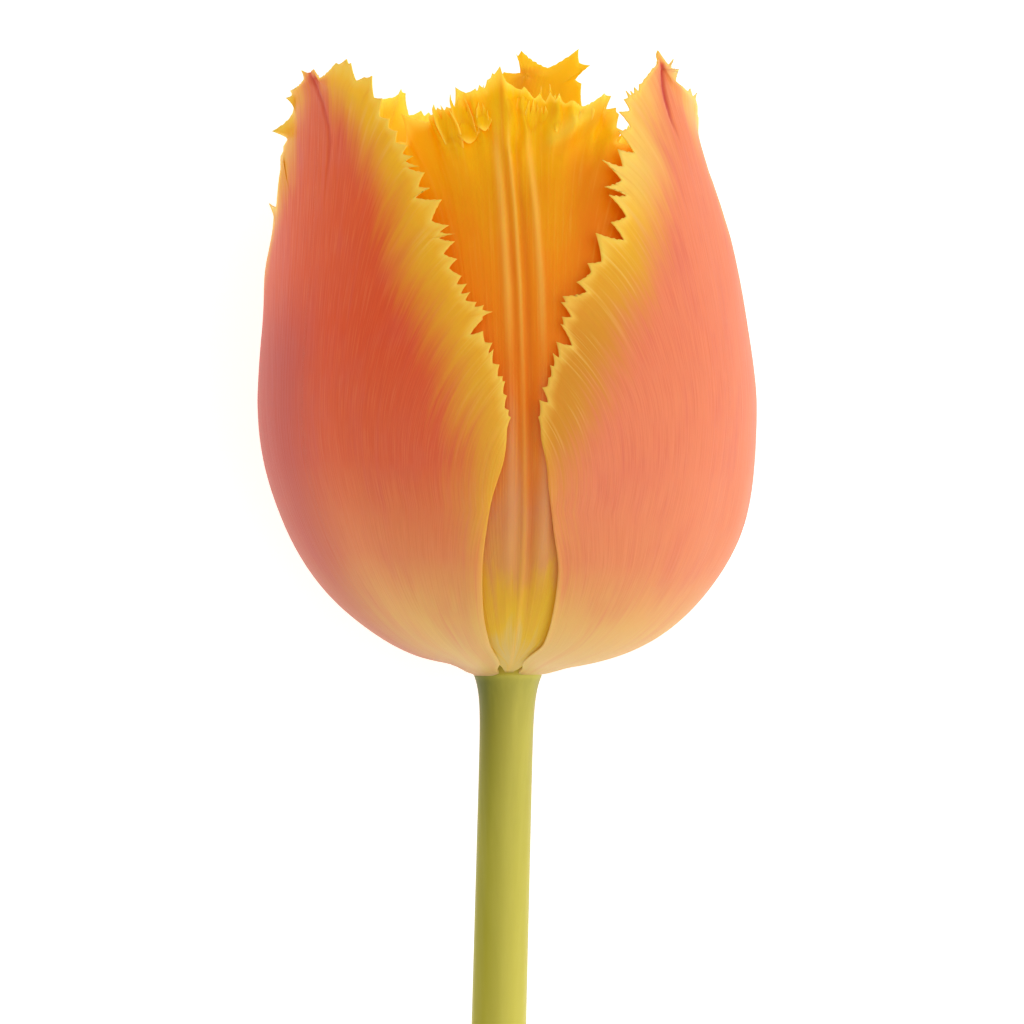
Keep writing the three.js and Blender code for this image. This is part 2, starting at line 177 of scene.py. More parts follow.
# a trim is [degrees, height where it starts, is full, begins to go, and is gone]
TEPALS = {
    "outer_tepal_left": dict(whorl="outer", seed=3, centre=-54.5, lean=0.025, twist=-8,
                             reach=0.985, breadth=1.04, spikes=(0.45, 0.95), still=-1,
                             trims=[[-1.4, 2, 8, 20, 29], [1.5, -1, 0.3, 1.2, 3.4]]),
    "outer_tepal_right": dict(whorl="outer", seed=17, centre=63.5, lean=0.047, twist=-4.5,
                              reach=1, breadth=0.88, spikes=(0.5, 0.2), tucked=1, salmon_and_lit=1,
                              trims=[[1, 12, 18, 22, 28], [4.5, -1, 0.3, 1.2, 3.4]]),
    "outer_tepal_back": dict(whorl="outer", seed=31, centre=180, lean=0.03, twist=-6,
                             reach=0.995, breadth=1.06, spikes=(0.7, 0.7)),
    "inner_tepal_front": dict(whorl="inner", seed=47, centre=4, lean=0.052, twist=0, claw=0.24,
                              reach=0.99, breadth=1, spikes=(0.5, 0.5)),
    "inner_tepal_left": dict(whorl="inner", seed=61, centre=-117, lean=0.042, twist=3,
                             reach=0.985, breadth=1, spikes=(0.35, 0.35)),
    "inner_tepal_right": dict(whorl="inner", seed=79, centre=123, lean=0.06, twist=2,
                              reach=0.92, breadth=1, spikes=(0, 0.35)),
}


def smooth_rim(tepal):
    """One half of the outline without its teeth, as arrays over t from the claw to the apex: the
    distance across from the midrib, the height, the run along the edge counted from where the
    teeth begin, and the edge's direction. An outer claw is rounded off at its foot, an inner one
    narrowed to a share, and each trim adds some degrees between its first and last height."""
    t = np.linspace(0, 1, 2001)
    angle, height = curve_through(OUTLINES[tepal["whorl"]], t).T
    z = height * tepal["reach"]
    angle = angle * mix(1, tepal["breadth"], ease(z, 48, 68))
    if tepal["whorl"] == "outer":
        angle = angle * mix(0.76, 1, np.sqrt(ease(z, 0, 1.1)))
    else:
        angle = angle * mix(tepal.get("claw", 0.7), 1, ease(z, 0.4, 3.2))
    for degrees, start, full, going, gone in tepal.get("trims", []):
        angle = angle + degrees * ease(z, start, full) * (1 - ease(z, going, gone))
    across = np.radians(angle) * cup_radius(z, tepal["lean"])
    run = np.r_[0, np.cumsum(np.hypot(np.diff(across), np.diff(z)))]
    start = math.ceil(np.argmax(z >= FRINGE_START) / 5) * 5
    run -= run[start]
    return dict(t=t, across=across, z=z, run=run, toward=np.gradient(across, run), up=np.gradient(z, run))


def beside_rim(rim, run, out):
    """The point at a run along the edge and a distance out from it, square to the edge."""
    across, z, toward, up = (
        np.interp(run, rim["run"], rim[key]) for key in ("across", "z", "toward", "up"))
    return across + out * up, z - out * toward


for name, tepal in TEPALS.items():
    tepal["rim"] = smooth_rim(tepal)
    print(name, "has", round(tepal["rim"]["run"][-1], 1), "mm of toothed edge a side")

# %% [markdown]
# ## The fringe
#
# The edge of this tulip is cut into teeth. Where the flower opens towards the eye they have
# their own places, read as [run along the edge, distance out from it], valley and tip in turn,
# and some tips curl off the surface by a third number. Elsewhere a fixed draw sets their width,
# length and lean, with long spikes near the tip. A flank from valley to tip is a quadratic
# curve that starts along the edge and ends along the tooth, so valleys are round and tips sharp.

# %% Teeth with their own places
# by tepal and side, where 1 is its right margin seen from outside
TEETH = {
    ("outer_tepal_left", 1): [
        [-1.3, -0.3], [0.7, 0.2], [0.9, -0.1], [1.6, 0], [1.9, -0.5], [3.4, 0], [3.8, -0.4], [5.2, 0.2],
        [5.3, -0.1], [5.9, 0.1], [6.1, -0.5], [7.4, 0.2], [7.9, -0.5], [9.5, 0.3], [9.3, -0.5],
        [10.3, 0.5], [10.8, -0.3], [12.2, 0.1], [12.6, -1.5], [13.5, 0.7], [13.8, 0.8], [13.7, 2.2],
        [14.6, 1.2], [15, 1.6], [15.4, 0.5], [15.8, 1], [16.7, -0.1], [17.3, 0.9], [17.7, -0.2],
        [18.4, 1], [19, -0.1], [19.6, 0.9], [21.3, 0], [21.8, 1.4], [23.3, 0.2], [24, 2.1], [25.4, 0.5],
        [24.9, 2.5], [26.1, 0.9], [26.3, 2.3], [27.9, 0.5], [29.7, 2.8], [31.4, -0.2], [31.7, 2],
        [32.5, 0.7], [33.8, 2.1], [35.2, 0.2], [34.9, 1.7], [36.1, 0], [36.6, 1.1], [37.1, -0.3],
        [38.1, 0.5], [38.8, -1.1], [40.3, -0.4], [41.5, -1.2], [42.3, -0.3], [43.7, -1], [44.4, 1.2],
        [45.5, 0.6], [46.5, 3], [46.9, 2.5], [47.4, 2.3], [48.5, 1.3], [49.8, 3.1], [50.1, 2.8],
        [50.6, 3.3], [51.7, 2.2], [52.2, 2.2], [55.4, -0.6],
    ],
    ("outer_tepal_left", -1): [
        [29.7, -3.2], [30.6, 0.2, 0.6], [31.9, -3.6], [33.6, -4.2], [36.1, -4.5], [37.3, -2.5],
        [38.2, -3.6], [38.9, -2.6], [42.3, -3.6], [43.3, -3.3, 2.2], [47, -1.5], [47.6, -0.6, 1],
        [47.9, -0.2, 0.2], [48.2, 0.2, 0.4], [53, -0.1], [53.4, 0.9, 0.4], [54.4, 0.4],
    ],
    ("outer_tepal_right", -1): [
        [-1.3, 0.4], [0.8, 0.7], [0.9, 0.5], [2.8, 0.7], [2.6, -0.4], [4.3, 0.6], [4.6, 0], [5.7, 0.1],
        [6, -0.2], [7.3, 0.3], [7.4, -0.2], [8.9, 0.5], [8.7, -0.4], [10.4, 0.6], [11, -1.3], [12.7, 1],
        [12.8, 0.6], [13.6, 1.2], [14.2, 0.2], [15.2, 2], [15.5, 1.5], [16, 2.1], [18.2, -0.3],
        [18.7, 1.2], [21, 0.1], [21.8, 0.9], [23.2, -0.5], [26, 1.6], [27.6, -1.9], [28.5, 0.5],
        [30.4, -1], [31.6, 1.9], [32.9, -0.2], [32.3, 2.7], [34.6, 0.8], [36.2, 3.5], [36.6, 0.8],
        [39, 1.4], [39.2, -1], [41.4, 1], [42.6, -0.8], [43.6, 1.1], [44.7, -0.2], [45.4, 1],
        [46.1, 0.6], [46.6, 1.2], [46.6, 0.2], [47.1, 0.7], [47.1, 0.1], [48, 0.5], [48, -0.2],
        [49.1, 0.2], [49.7, 0], [50.5, 0.1], [52, 0.1], [53.4, 0.2], [54.5, 0.2],
    ],
    ("outer_tepal_right", 1): [
        [37.4, -0.7], [38.4, -0.3], [39.8, -0.9], [41, -0.4], [42.4, -1.3], [44.2, -0.6], [45.2, -1.1],
        [45.5, 0], [46.3, 0.3], [46.5, 1.2, 0.4], [47.8, -0.5], [48.3, 0.4], [50, -1.2], [52, -1.6],
        [53.9, -1.7], [51.1, 1.5], [54, 0.1], [52.2, 2.3], [54.5, 0.3],
    ],
    ("inner_tepal_front", -1): [
        [41.4, -0.3], [43.3, 0.4], [44.1, -0.5], [44.6, -0.2], [45.5, -0.7], [46.3, 2], [48, 1],
        [48.8, 1.2], [48.9, 0.9], [49.3, 1.6], [49.8, 1.2], [50.3, 2.1], [50.8, 2.1], [51.1, 2.6],
        [51.3, 2.3], [52.1, 3.2], [52.6, 1.4],
    ],
    ("inner_tepal_front", 1): [
        [38.6, -1.8], [38.9, 0.1], [39.9, -0.5], [40.6, 1], [41.1, 1], [41.4, 1.4], [42.1, 1.1],
        [42.5, 2.4], [42.9, 2.4], [43.2, 2.5], [45.4, -0.1], [47.6, -0.3], [48, -0.6], [49.1, 0.4],
        [49.5, -0.5], [50.2, 0.5], [50.6, -0.5], [51.4, 0.6], [52.1, -0.2], [53.7, 0.8], [54, 0.4],
    ],
    ("outer_tepal_back", -1): [
        [36.2, 2.2], [38.8, 1.2], [38, 0.5], [40.1, -0.5], [39.8, -1.5], [42.8, -1.4], [43.3, -2.3],
        [45.4, -1.4], [45.7, -2.3], [46.9, -1.8], [47.4, -2.2], [49.5, 0.6], [50.5, 0.7], [49.7, 3],
        [51.2, 2.7], [52.3, 4.1], [54.6, 0.9],
    ],
    ("outer_tepal_back", 1): [
        [37.2, -2.6], [40.4, -2.9], [40.6, -3.5], [43.4, -2.4], [43.7, -3.2], [45.2, -2.3],
        [45.4, -3.1], [46.7, -2.1], [47.3, -2.6], [48.5, -1.4], [49.2, -2.1], [50.2, -1], [51.2, -1.2],
        [52.2, -0.2], [53, -0.4], [54.1, 0.5], [56.1, 0], [55.4, 2.6], [55.7, 2.2],
    ],
    ("inner_tepal_left", -1): [
        [36.8, 4.1], [38.5, 3.9], [38.6, 3.2], [39.6, 3.2], [40.4, 1.7], [41.6, 3.7], [41.8, 3.6],
        [42.2, 3.8], [43.6, 1.8],
    ],
}
# where the nib ends, as [distance across the midrib, height]
NIBS = {"outer_tepal_left": [-0.4, 75.1], "outer_tepal_right": [0.5, 77.6], "outer_tepal_back": [1.4, 78],
        "inner_tepal_front": [-0.9, 73.3]}


# %% Teeth by a fixed draw, and both kinds together
def drawn_teeth(tepal, side, until):
    """Tooth after tooth along the edge: 1.1 to 2.2 mm wide and 0.8 to 2.4 mm long, or a spike
    2.8 to 4.4 mm wide and up to 3 mm long. A tip moves along the edge by length times sin(lean)."""
    n, start, teeth = tepal["seed"] + (0.25 if side > 0 else 0.5), 0.0, []
    total = tepal["rim"]["run"][-1]
    while start < total:
        n += 1
        spike = start / total > 0.44 and draw(n + 0.83) < tepal["spikes"][0 if side > 0 else 1]
        wide = mix(2.8, 4.4, draw(n)) if spike else mix(1.1, 2.2, draw(n))
        end = total if total - start - wide < 1.3 else start + wide
        long = mix(2.1, 3, draw(n + 0.31)) if spike else mix(0.8, 2.4, draw(n + 0.31))
        long *= float(ease(start, -3, 9))
        lean = math.radians(mix(-12, 26, draw(n + 0.59)))
        curl = mix(-0.8, 1, draw(n + 0.67)) * mix(0.2, 1.2, float(ease(start, 3, 26)))
        curl *= side != tepal.get("still")
        if end >= until or end == total:
            break
        middle = mix(start, end, mix(0.38, 0.62, draw(n + 0.47)))
        teeth += [[start, 0, 0], [middle + long * math.sin(lean), long * math.cos(lean), curl]]
        start = end
    return teeth + [[start, 0, 0]]


def margin_points(name, side):
    """Valley, tip, valley and so on from the first tooth to the apex, as [run, out, curl]."""
    placed = [[*p, 0][:3] for p in TEETH.get((name, side), [])]
    tepal = TEPALS[name]
    if not placed:
        return np.array(drawn_teeth(tepal, side, 1e9), float)
    low = drawn_teeth(tepal, side, placed[0][0]) if placed[0][0] > 2 else []
    return np.array(low[:-1] + placed, float)


for name in TEPALS:
    print(name, "teeth, right and left:", *[len(margin_points(name, s)) // 2 for s in (1, -1)])

# %% [markdown]
# ## One tepal as a grid
#
# A tepal has two halves. In each, rows run from the midrib to the margin and columns from the
# claw to the apex. The last few columns cross the fringe, and the very last one is the toothed
# outline itself, so the teeth are part of the sheet and not stuck on. All rows end at the apex
# in one pole. Subdividing a coarse card would round the teeth off, so the rows are laid as
# close as the teeth need.

# %% The toothed outline, row by row
BEND_PLACE = 0.4        # where a flank bends, as a share of the way from valley to tip
BEND_DEPTH = 0.09       # how far that is into the tissue, as a share of the flank's length
FOOT_SHIFT = 0.85       # how far a valley's foot moves against the lean of its flanks
UNDER_VALLEY, UNDER_NIB = 0.3, 0.6   # how far the smooth rim is cut under valleys and nib
NIBBLE_COARSE, NIBBLE_FINE = 0.07, 0.03   # the two sines that roughen a flank


def tooth_feet(rim, run, out):
    """Where valleys and tips stand on the smooth rim. Where teeth lean, the foot of a valley
    moves against them by a share of the lean of its two flanks, along over out. A tip stands
    halfway between its valleys, and no foot stands before the one below it."""
    way = np.where(np.arange(len(run) - 1) % 2, -1, 1)
    lean = np.clip(np.diff(run) / way / np.maximum(0.1, np.abs(np.diff(out))), -1.2, 1.2)
    foot = run.copy()
    foot[2:-1:2] -= FOOT_SHIFT * (lean[2::2] + lean[1:-1:2])
    foot[1:-1:2] = (foot[0:-2:2] + foot[2::2]) / 2
    return np.minimum(np.maximum.accumulate(np.r_[foot, 1e9]), rim["run"][-1])


def margin_rows(name, side, plain, toothed):
    """For every row: t at its foot on the smooth rim, its end on the toothed outline, and how far
    that end curls off the surface. Last, how far the valleys cut into the smooth rim, for all its
    points: to just under the lowest neighbour. A flank from P to Q with its bend at C is
    (1-w)²P + 2w(1-w)C + w²Q. C lies nearer the valley than the tip, and a little into the tissue.
    Two sines of the distance along the edge nibble it, less towards valleys and tips."""
    tepal, rim = TEPALS[name], TEPALS[name]["rim"]
    points = margin_points(name, side)
    apex = OUTLINES[tepal["whorl"]][-1][1] * tepal["reach"]
    nib = NIBS.get(name, [0, apex + NIB[tepal["whorl"]]])
    run, out, curl = points.T
    corner = np.stack(beside_rim(rim, run, out), -1)
    corner = np.vstack([corner, [nib[0] * side, nib[1]]])
    foot = tooth_feet(rim, run, out)
    run, out, curl = np.r_[run, rim["run"][-1]], np.r_[out, 1.0], np.r_[curl, 0]
    k = np.arange(len(run) - 1)
    rising = k % 2 == 0
    chord = corner[1:] - corner[:-1]
    bend = mix(corner[k + ~rising], corner[k + rising], BEND_PLACE)
    bend += BEND_DEPTH * np.stack([-chord[:, 1], chord[:, 0]], -1)
    lowest = np.minimum.reduce([out, np.r_[out[0], out[:-1]], np.r_[out[1:], out[-1]]])
    low = np.minimum(0, lowest - UNDER_VALLEY)
    inset = np.interp(rim["run"], foot, low) * ease(rim["run"], foot[0] - 5, foot[0])
    inset = mix(inset, -UNDER_NIB, ease(rim["run"], min(run[-2], rim["run"][-1] - 1), rim["run"][-1]))

    size = np.hypot(*chord.T)
    share = 4 + np.floor((toothed - 4 * len(k)) * size / size.sum()).astype(int)
    share[-1] += toothed - share.sum()
    flank = np.repeat(k, share)
    w = (np.arange(toothed) - np.repeat(np.cumsum(share) - share, share)) / np.repeat(share, share)
    flank, w = np.r_[flank, k[-1]], np.r_[w, 1.0]
    p, q, c = corner[flank], corner[flank + 1], bend[flank]
    line = (1 - w)[:, None] ** 2 * p + (2 * w * (1 - w))[:, None] * c + (w**2)[:, None] * q
    along = np.cumsum(np.r_[0, np.hypot(*(line[1:] - line[:-1]).T)])
    nibble = NIBBLE_COARSE * np.sin(7.7 * along + tepal["seed"]) + NIBBLE_FINE * np.sin(17.3 * along)
    line[:, 1] += nibble * np.sin(np.pi * w) * ease(size[flank], 1.3, 2.6)
    near_tip = np.where(rising[flank], w, 1 - w) ** 2
    lift = near_tip * np.where(rising[flank], curl[flank + 1], curl[flank])
    lift += (1 - near_tip) * np.where(rising[flank], curl[flank], curl[flank + 1])
    t = np.interp(mix(foot[flank], foot[flank + 1], w), rim["run"], rim["t"])

    low = np.linspace(0, 1, plain, endpoint=False) ** 1.1 * t[0]
    run_low = np.interp(low, rim["t"], rim["run"])
    low_line = np.stack(beside_rim(rim, run_low, out[0] * ease(run_low, foot[0] - 5, foot[0])), -1)
    return np.r_[low, t], np.vstack([low_line, line]), np.r_[np.zeros(plain), lift], inset


# %% Columns, and the relief of the surface
COLUMNS = {
    "outer": [*np.linspace(0, 0.24, 13), 0.28, 0.33, 0.39, 0.46, 0.53, 0.6, 0.67, 0.74, 0.8, 0.86,
              0.91, 0.95],
    "inner": [*np.linspace(0, 0.18, 14), 0.215, 0.26, 0.31, 0.37, 0.43, 0.5, 0.57, 0.64, 0.71, 0.78,
              0.84, 0.89, 0.93, 0.96],
}
FRINGE_COLUMNS = 5

# how far the crease or the middle ridge strays from the midrib, as [height, distance across]
MIDLINES = {
    "outer_tepal_left": [[56, 1.2], [60, 2.2], [66, 2.6], [68, 2.2], [71, 0.9], [73.5, -1],
                         [75.5, -1.7]],
    "outer_tepal_right": [[56, -0.3], [64, -0.9], [67, -1.4], [69, -1.8], [71.5, -1.7], [73, -1.4],
                          [76, 0]],
    "inner_tepal_front": [[0, -0.25], [12, 0.25], [20, 0.28], [36, -0.1], [48, -0.35], [58, -0.85],
                          [66, -1.5]],
}


def from_midline(name, across, z):
    """The distance across from the crease or middle ridge, whose own course is a broken line."""
    return across - np.interp(z, *np.array(MIDLINES.get(name, [[0, 0], [80, 0]])).T)


def relief(name, across, z, edge):
    """How far the surface stands out from the cup. Outer: the margin flares, except one that is
    tucked in behind the side, and a crease runs up to the nib. The right one also bulges. Inner:
    three ridges and a groove, each a bell, and a top frilled by two sines across that fan out
    upwards, with one smooth lobe on the right. All margins wave slowly."""
    tepal, x = TEPALS[name], from_midline(name, across, z)
    wave = 0.3 * np.sin(2 * np.pi * z / 13 + tepal["seed"]) * edge**6 * ease(z, 30, 48)
    if tepal["whorl"] == "outer":
        salmon_and_lit = tepal.get("salmon_and_lit", 0)
        crease = bell(x, 0.4) * mix(0.5 * ease(z, 57, 70), 0.8 * ease(z, 65, 72), salmon_and_lit)
        tucked = (across > 0) * ease(z, 34, 50) * (1 - ease(z, 62, 71.5)) * tepal.get("tucked", 0)
        bulge = 0.7 * bell(z - 20, 8) + 0.45 * bell(z - 54, 8) - 0.4 * ease(z, 64, 73)
        bulge = bulge * ease(across, 0, 8) * salmon_and_lit
        return mix(0.25 * ease(z, 36, 60), -1.6, tucked) * edge**4 - 0.28 * crease + wave + bulge
    ridges = 0.3 * bell(x + 1.6, 0.6) + 0.3 * bell(x, 0.33)
    ridges = ridges + 0.26 * bell(x - mix(3, 2.4, ease(z, 45, 62)), 0.45)
    ridges = ridges * mix(0.55, 1, ease(z, 34, 50)) - 0.2 * bell(x - 0.95, 0.5)
    fan = across / mix(0.4, 1, ease(z, 48, 75)) + 0.35 * np.sin(0.9 * z + across)
    frill = np.sin(2 * np.pi * fan / 9 + tepal["seed"]) * ease(z, 56, 72)
    crimp = np.sin(2 * np.pi * fan / 3.4 + 2 * tepal["seed"] + 0.8 * np.sin(fan)) * ease(z, 61, 71)
    lobe = bell(across - 4.7 - LOBE_SLOPE * (z - LOBE_HEIGHT), 1.6) * ease(z, 62, 67) * ease(across, 2, 5)
    flare = edge**4 * ease(z, 54, 68)
    wave = wave * ease(z, 46, 60)
    return (ridges * ease(z, 1, 12) * (1 - ease(z, 65, 71)) + 0.6 * frill + 0.5 * crimp + 0.8 * lobe
            + 0.5 * flare + wave)


# %% A mesh from points and triangles
def add_piece(name, points, triangles, fields, material, replaces, slot):
    """Merges equal points, drops triangles that shrank to a line, turns the shell outwards (the
    sum of a·(b×c) over its triangles is six times its volume, above 0 if they face out), and
    stores the fields as attributes. Points are in millimetres."""
    _, first, new = np.unique(np.round(points, 5), axis=0, return_index=True, return_inverse=True)
    points, triangles = points[first], new.reshape(-1)[triangles]
    a, b, c = triangles.T
    triangles = triangles[(a != b) & (b != c) & (c != a)]
    a, b, c = points[triangles].transpose(1, 0, 2)
    if np.sum(a * np.cross(b, c)) < 0:
        triangles = triangles[:, ::-1]
    mesh = bpy.data.meshes.new(name)
    mesh.from_pydata((points * MM).tolist(), [], triangles.tolist())
    mesh.shade_smooth()
    for key, values in fields.items():
        values = np.asarray(values)[first].astype(np.float32)
        kind, store = ("FLOAT_VECTOR", "vector") if values.ndim == 2 else ("FLOAT", "value")
        mesh.attributes.new(key, kind, "POINT").data.foreach_set(store, values.ravel())
    piece = bpy.data.objects.new(name, mesh)
    bpy.context.scene.collection.objects.link(piece)
    mesh.materials.append(material)
    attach(piece, "root")
    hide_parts(*replaces)
    print(f"{name}: {len(points)} points, {len(triangles)} triangles")
    return piece


def quads(corners):
    """Two triangles for every cell of a grid of point numbers."""
    a, b, c, d = corners[:-1, :-1], corners[1:, :-1], corners[1:, 1:], corners[:-1, 1:]
    return np.stack([a, b, c, a, c, d], -1).reshape(-1, 3)


def in_rows(*grids):
    """Three grids of numbers as rows of three."""
    return np.stack(grids, -1).reshape(-1, 3)


def skin_triangles(points):
    """The triangles of one grid of points, such as rings one after the other."""
    return quads(np.arange(points[..., 0].size).reshape(points.shape[:2]))


def sheet_triangles(rows, columns, wall_at_end):
    """A front and a back grid and the wall along their edge: down the left side, along the foot,
    up the right side and, where the end doesn't close by itself, back along it."""
    number, back = np.arange(rows * columns).reshape(rows, columns), rows * columns
    ring = np.r_[number[::-1, 0], number[0, 1:], number[1:, -1]]
    if wall_at_end:
        ring = np.r_[ring, number[-1, -2::-1]]
    return np.vstack([quads(number), quads(number + back)[:, ::-1], quads(np.stack([ring + back, ring]))])


# %% Where the red ends, and how the claws sit
# how far out the red goes at each height, as [height, share of the half width], right and left side
RED_SHARES = {
    "outer_tepal_left": (
        [[0, 1], [12, 0.98], [20, 0.87], [26, 0.83], [31, 0.78], [36, 0.755], [45, 0.73], [52, 0.71],
         [57, 0.7], [61, 0.64], [66, 0.49], [69, 0.36], [71.5, 0.26], [74, 0.15]],
        [[0, 1], [20, 0.93], [34, 0.88], [45, 0.84], [51, 0.78], [55, 0.68], [58, 0.56], [61, 0.44],
         [64, 0.42], [69, 0.37], [71.5, 0.36], [74, 0.6]]),
    "outer_tepal_right": (
        [[0, 1], [20, 0.85], [34, 0.64], [45, 0.56], [54, 0.52], [61, 0.48], [66.5, 0.4], [70, 0.28],
         [72, 0.2], [75, 0.15]],
        [[0, 1], [20, 0.98], [26.5, 0.89], [29.6, 0.81], [33, 0.73], [39, 0.69], [45, 0.64], [51.5, 0.55],
         [58, 0.53], [61, 0.47], [64, 0.42], [69, 0.36], [71.5, 0.36], [74, 0.45]]),
}
CLAW_TOP = 20           # below this the veins gather towards the claw
VEINS_A_SIDE = 40       # added on the left, so that it has veins of its own
CLAW_SAG = {"outer": 0.45, "inner": 0.05}   # how far the claws come down where they meet the stem
CLAW_LIP = 0.15         # their rounded end below that
INNER_CLAW, INNER_LOW, INNER_NEAR = 0.04, 0.65, 0.85   # depth of the inner whorl, going up
THICK_MIDRIB, THICK_SIDE, TEETH_SHARE = 0.75, 0.5, 0.4   # teeth have this share of the side's


def vein_number(rim, across, z):
    """Which vein runs through a point, as the distance from the midrib at which it starts. Above
    the claw a vein moves out by the square of its share a/W of the half width for every unit of
    height, so 1/start = 1/a + the integral of 1/W² over the height."""
    climbing = np.gradient(rim["z"]) > 0
    heights, half = rim["z"][climbing], rim["across"][climbing]
    rate = ease(heights, 12, 40) / np.maximum(half, 6) ** 2
    total = np.cumsum(rate * np.gradient(heights))
    width = np.interp([CLAW_TOP], heights, half) / np.interp(np.clip(z, 0, CLAW_TOP), heights, half)
    a = np.abs(across) * width
    return a / (1 + a * np.interp(z, heights, total))


def settled(tepal, x, y, up, edge):
    """The bloom's underside as it really sits: the claws sag to the stem near the axis, less at
    their edges, and the left side rises sooner than the right."""
    sag = CLAW_SAG[tepal["whorl"]] * (1 - ease(np.hypot(x, y), 4.2, 8)) * (1 - 0.7 * edge**6)
    shift = 0.6 * ease(-x, 4, 7) + 0.65 * ease(-x, 10, 20) - 1.6 * ease(x, 7, 29)
    return x, y, up - sag + shift * (1 - ease(up, 18, 33))


# %% The grid of a tepal, and the fields its paint reads
def tepal_grid(name, plain, toothed):
    """Row t and column u of a half lie at u times the rim's angle and at a height that goes from
    the midrib's to the rim's with u², where the rim is drawn in to just under the valleys. Past
    the last column, points go straight to the outline. Returned for both halves side by side:
    the distance across, the height, u and the curl."""
    tepal, rim = TEPALS[name], TEPALS[name]["rim"]
    u = np.array(COLUMNS[tepal["whorl"]])[None, :]
    step = np.arange(1, FRINGE_COLUMNS + 1)[None, :] / FRINGE_COLUMNS
    heights = MIDRIB_HEIGHTS * OUTLINES[tepal["whorl"]][-1][1] / MIDRIB_HEIGHTS[-1]
    sides = {s: margin_rows(name, s, plain, toothed) for s in (1, -1)}
    t_middle = (sides[1][0] + sides[-1][0]) / 2
    last, halves = np.s_[:, -1:], []
    for side in (1, -1):
        t_side, line, lift, inset = sides[side]
        t = mix(t_middle[:, None], t_side[:, None], ease(u, 0, 0.6))
        rim_across, rim_z = (np.interp(t, rim["t"], values) for values in (
            rim["across"] + inset * rim["up"] * (1 - ease(rim["t"], 0.98, 1)),
            rim["z"] - inset * rim["toward"]))
        spine = curve_through(heights[:, None], t.ravel()).reshape(t.shape)
        z = mix(spine * tepal["reach"], rim_z, u**2)
        across = u * (rim_across * cup_radius(z, tepal["lean"]) / cup_radius(rim_z, tepal["lean"]))
        halves.append([
            side * np.hstack([across, mix(across[last], line[:, :1], step)]),
            np.hstack([z, mix(z[last], line[:, 1:], step)]),
            np.hstack([np.broadcast_to(u, t.shape), mix(u[:, -1:], 1, step) + 0 * t[:, :1]]),
            np.hstack([np.zeros(t.shape), lift[:, None] * step**2])])
    return [np.hstack([left[:, :0:-1], right]) for right, left in zip(*halves)]


def tepal_fields(name, across, z, edge):
    """What the paint reads: place (across, height, u), vein (its number, the height, and 1 inside)
    and red_reach (how far inside the red a point lies, the distance from the crease or middle
    ridge, and 1 for the right outer tepal, whose paint is pinker and carries painted light from
    the right). Front and back carry the same but for the vein's last."""
    tepal, rim = TEPALS[name], TEPALS[name]["rim"]
    shares = RED_SHARES.get(name, RED_SHARES["outer_tepal_left"])
    share = np.where(across > 0, *(np.interp(z, *np.array(side).T) for side in shares))
    red = share * np.maximum(0.5, np.interp(z, rim["z"], rim["across"])) - np.abs(across)
    salmon_and_lit = 0 * z + tepal.get("salmon_and_lit", 0)
    number = vein_number(rim, across, z) + VEINS_A_SIDE * (across < 0)
    return {
        "place": np.tile(in_rows(across, z, edge), (2, 1)),
        "vein": np.vstack([in_rows(number, z, 0 * z + inside) for inside in (0, 1)]),
        "red_reach": np.tile(in_rows(red, from_midline(name, across, z), salmon_and_lit), (2, 1)),
    }


# %% The sheet of a tepal with its two faces
def tepal_sheet(name, plain=60, toothed=560):
    """Two faces on the cup, apart by the tissue's thickness and joined by a wall round the edge.
    Where the cup would pass through the table, both are lifted onto it. Two more rows round the
    foot of the claw off."""
    tepal = TEPALS[name]
    across, z, edge, curl = tepal_grid(name, plain, toothed)
    angle = np.degrees(across / cup_radius(z, tepal["lean"]))
    stand = relief(name, across, z, edge) + curl
    thick = mix(THICK_MIDRIB, THICK_SIDE, edge**2) * mix(1, TEETH_SHARE, ease(edge, 0.95, 1))
    inner = mix(mix(INNER_LOW, INNER_NEAR, ease(z, 22, 34)), INNER_DEPTH, ease(z, 56, 66))
    depth = 0 if tepal["whorl"] == "outer" else mix(INNER_CLAW, inner, ease(z, 0.2, 4))
    skin = lay_down(*settled(tepal, *on_cup(tepal, angle, z, 0), edge))
    faces = []
    for inside in (0, 1):
        x, y, up = settled(tepal, *on_cup(tepal, angle, z, depth - stand + inside * thick), edge)
        face = lay_down(x, y, up)
        face[..., 2] += np.maximum(0, -skin[..., 2])
        lip = lay_down(x[:1] * 0.985, y[:1] * 0.985, up[:1] - CLAW_LIP * (1 - inside))
        faces.append(np.vstack([lip, mix(lip, face[:1], 0.6), face]).reshape(-1, 3))
    across, edge = (np.vstack([a[:1]] * 2 + [a]) for a in (across, edge))
    z = np.vstack([z[:1] - CLAW_LIP, z[:1] - CLAW_LIP / 2, z])
    return np.vstack(faces), sheet_triangles(*z.shape, False), tepal_fields(name, across, z, edge)


# %% [markdown]
# ## Paint written as sums
#
# A material can be wired by hand, node by node, or written down. Here one small class stands for
# an output socket, so a mask is an expression such as 1 - mask * 0.5, and every sign adds its
# Math node. Colours go through Mix nodes.

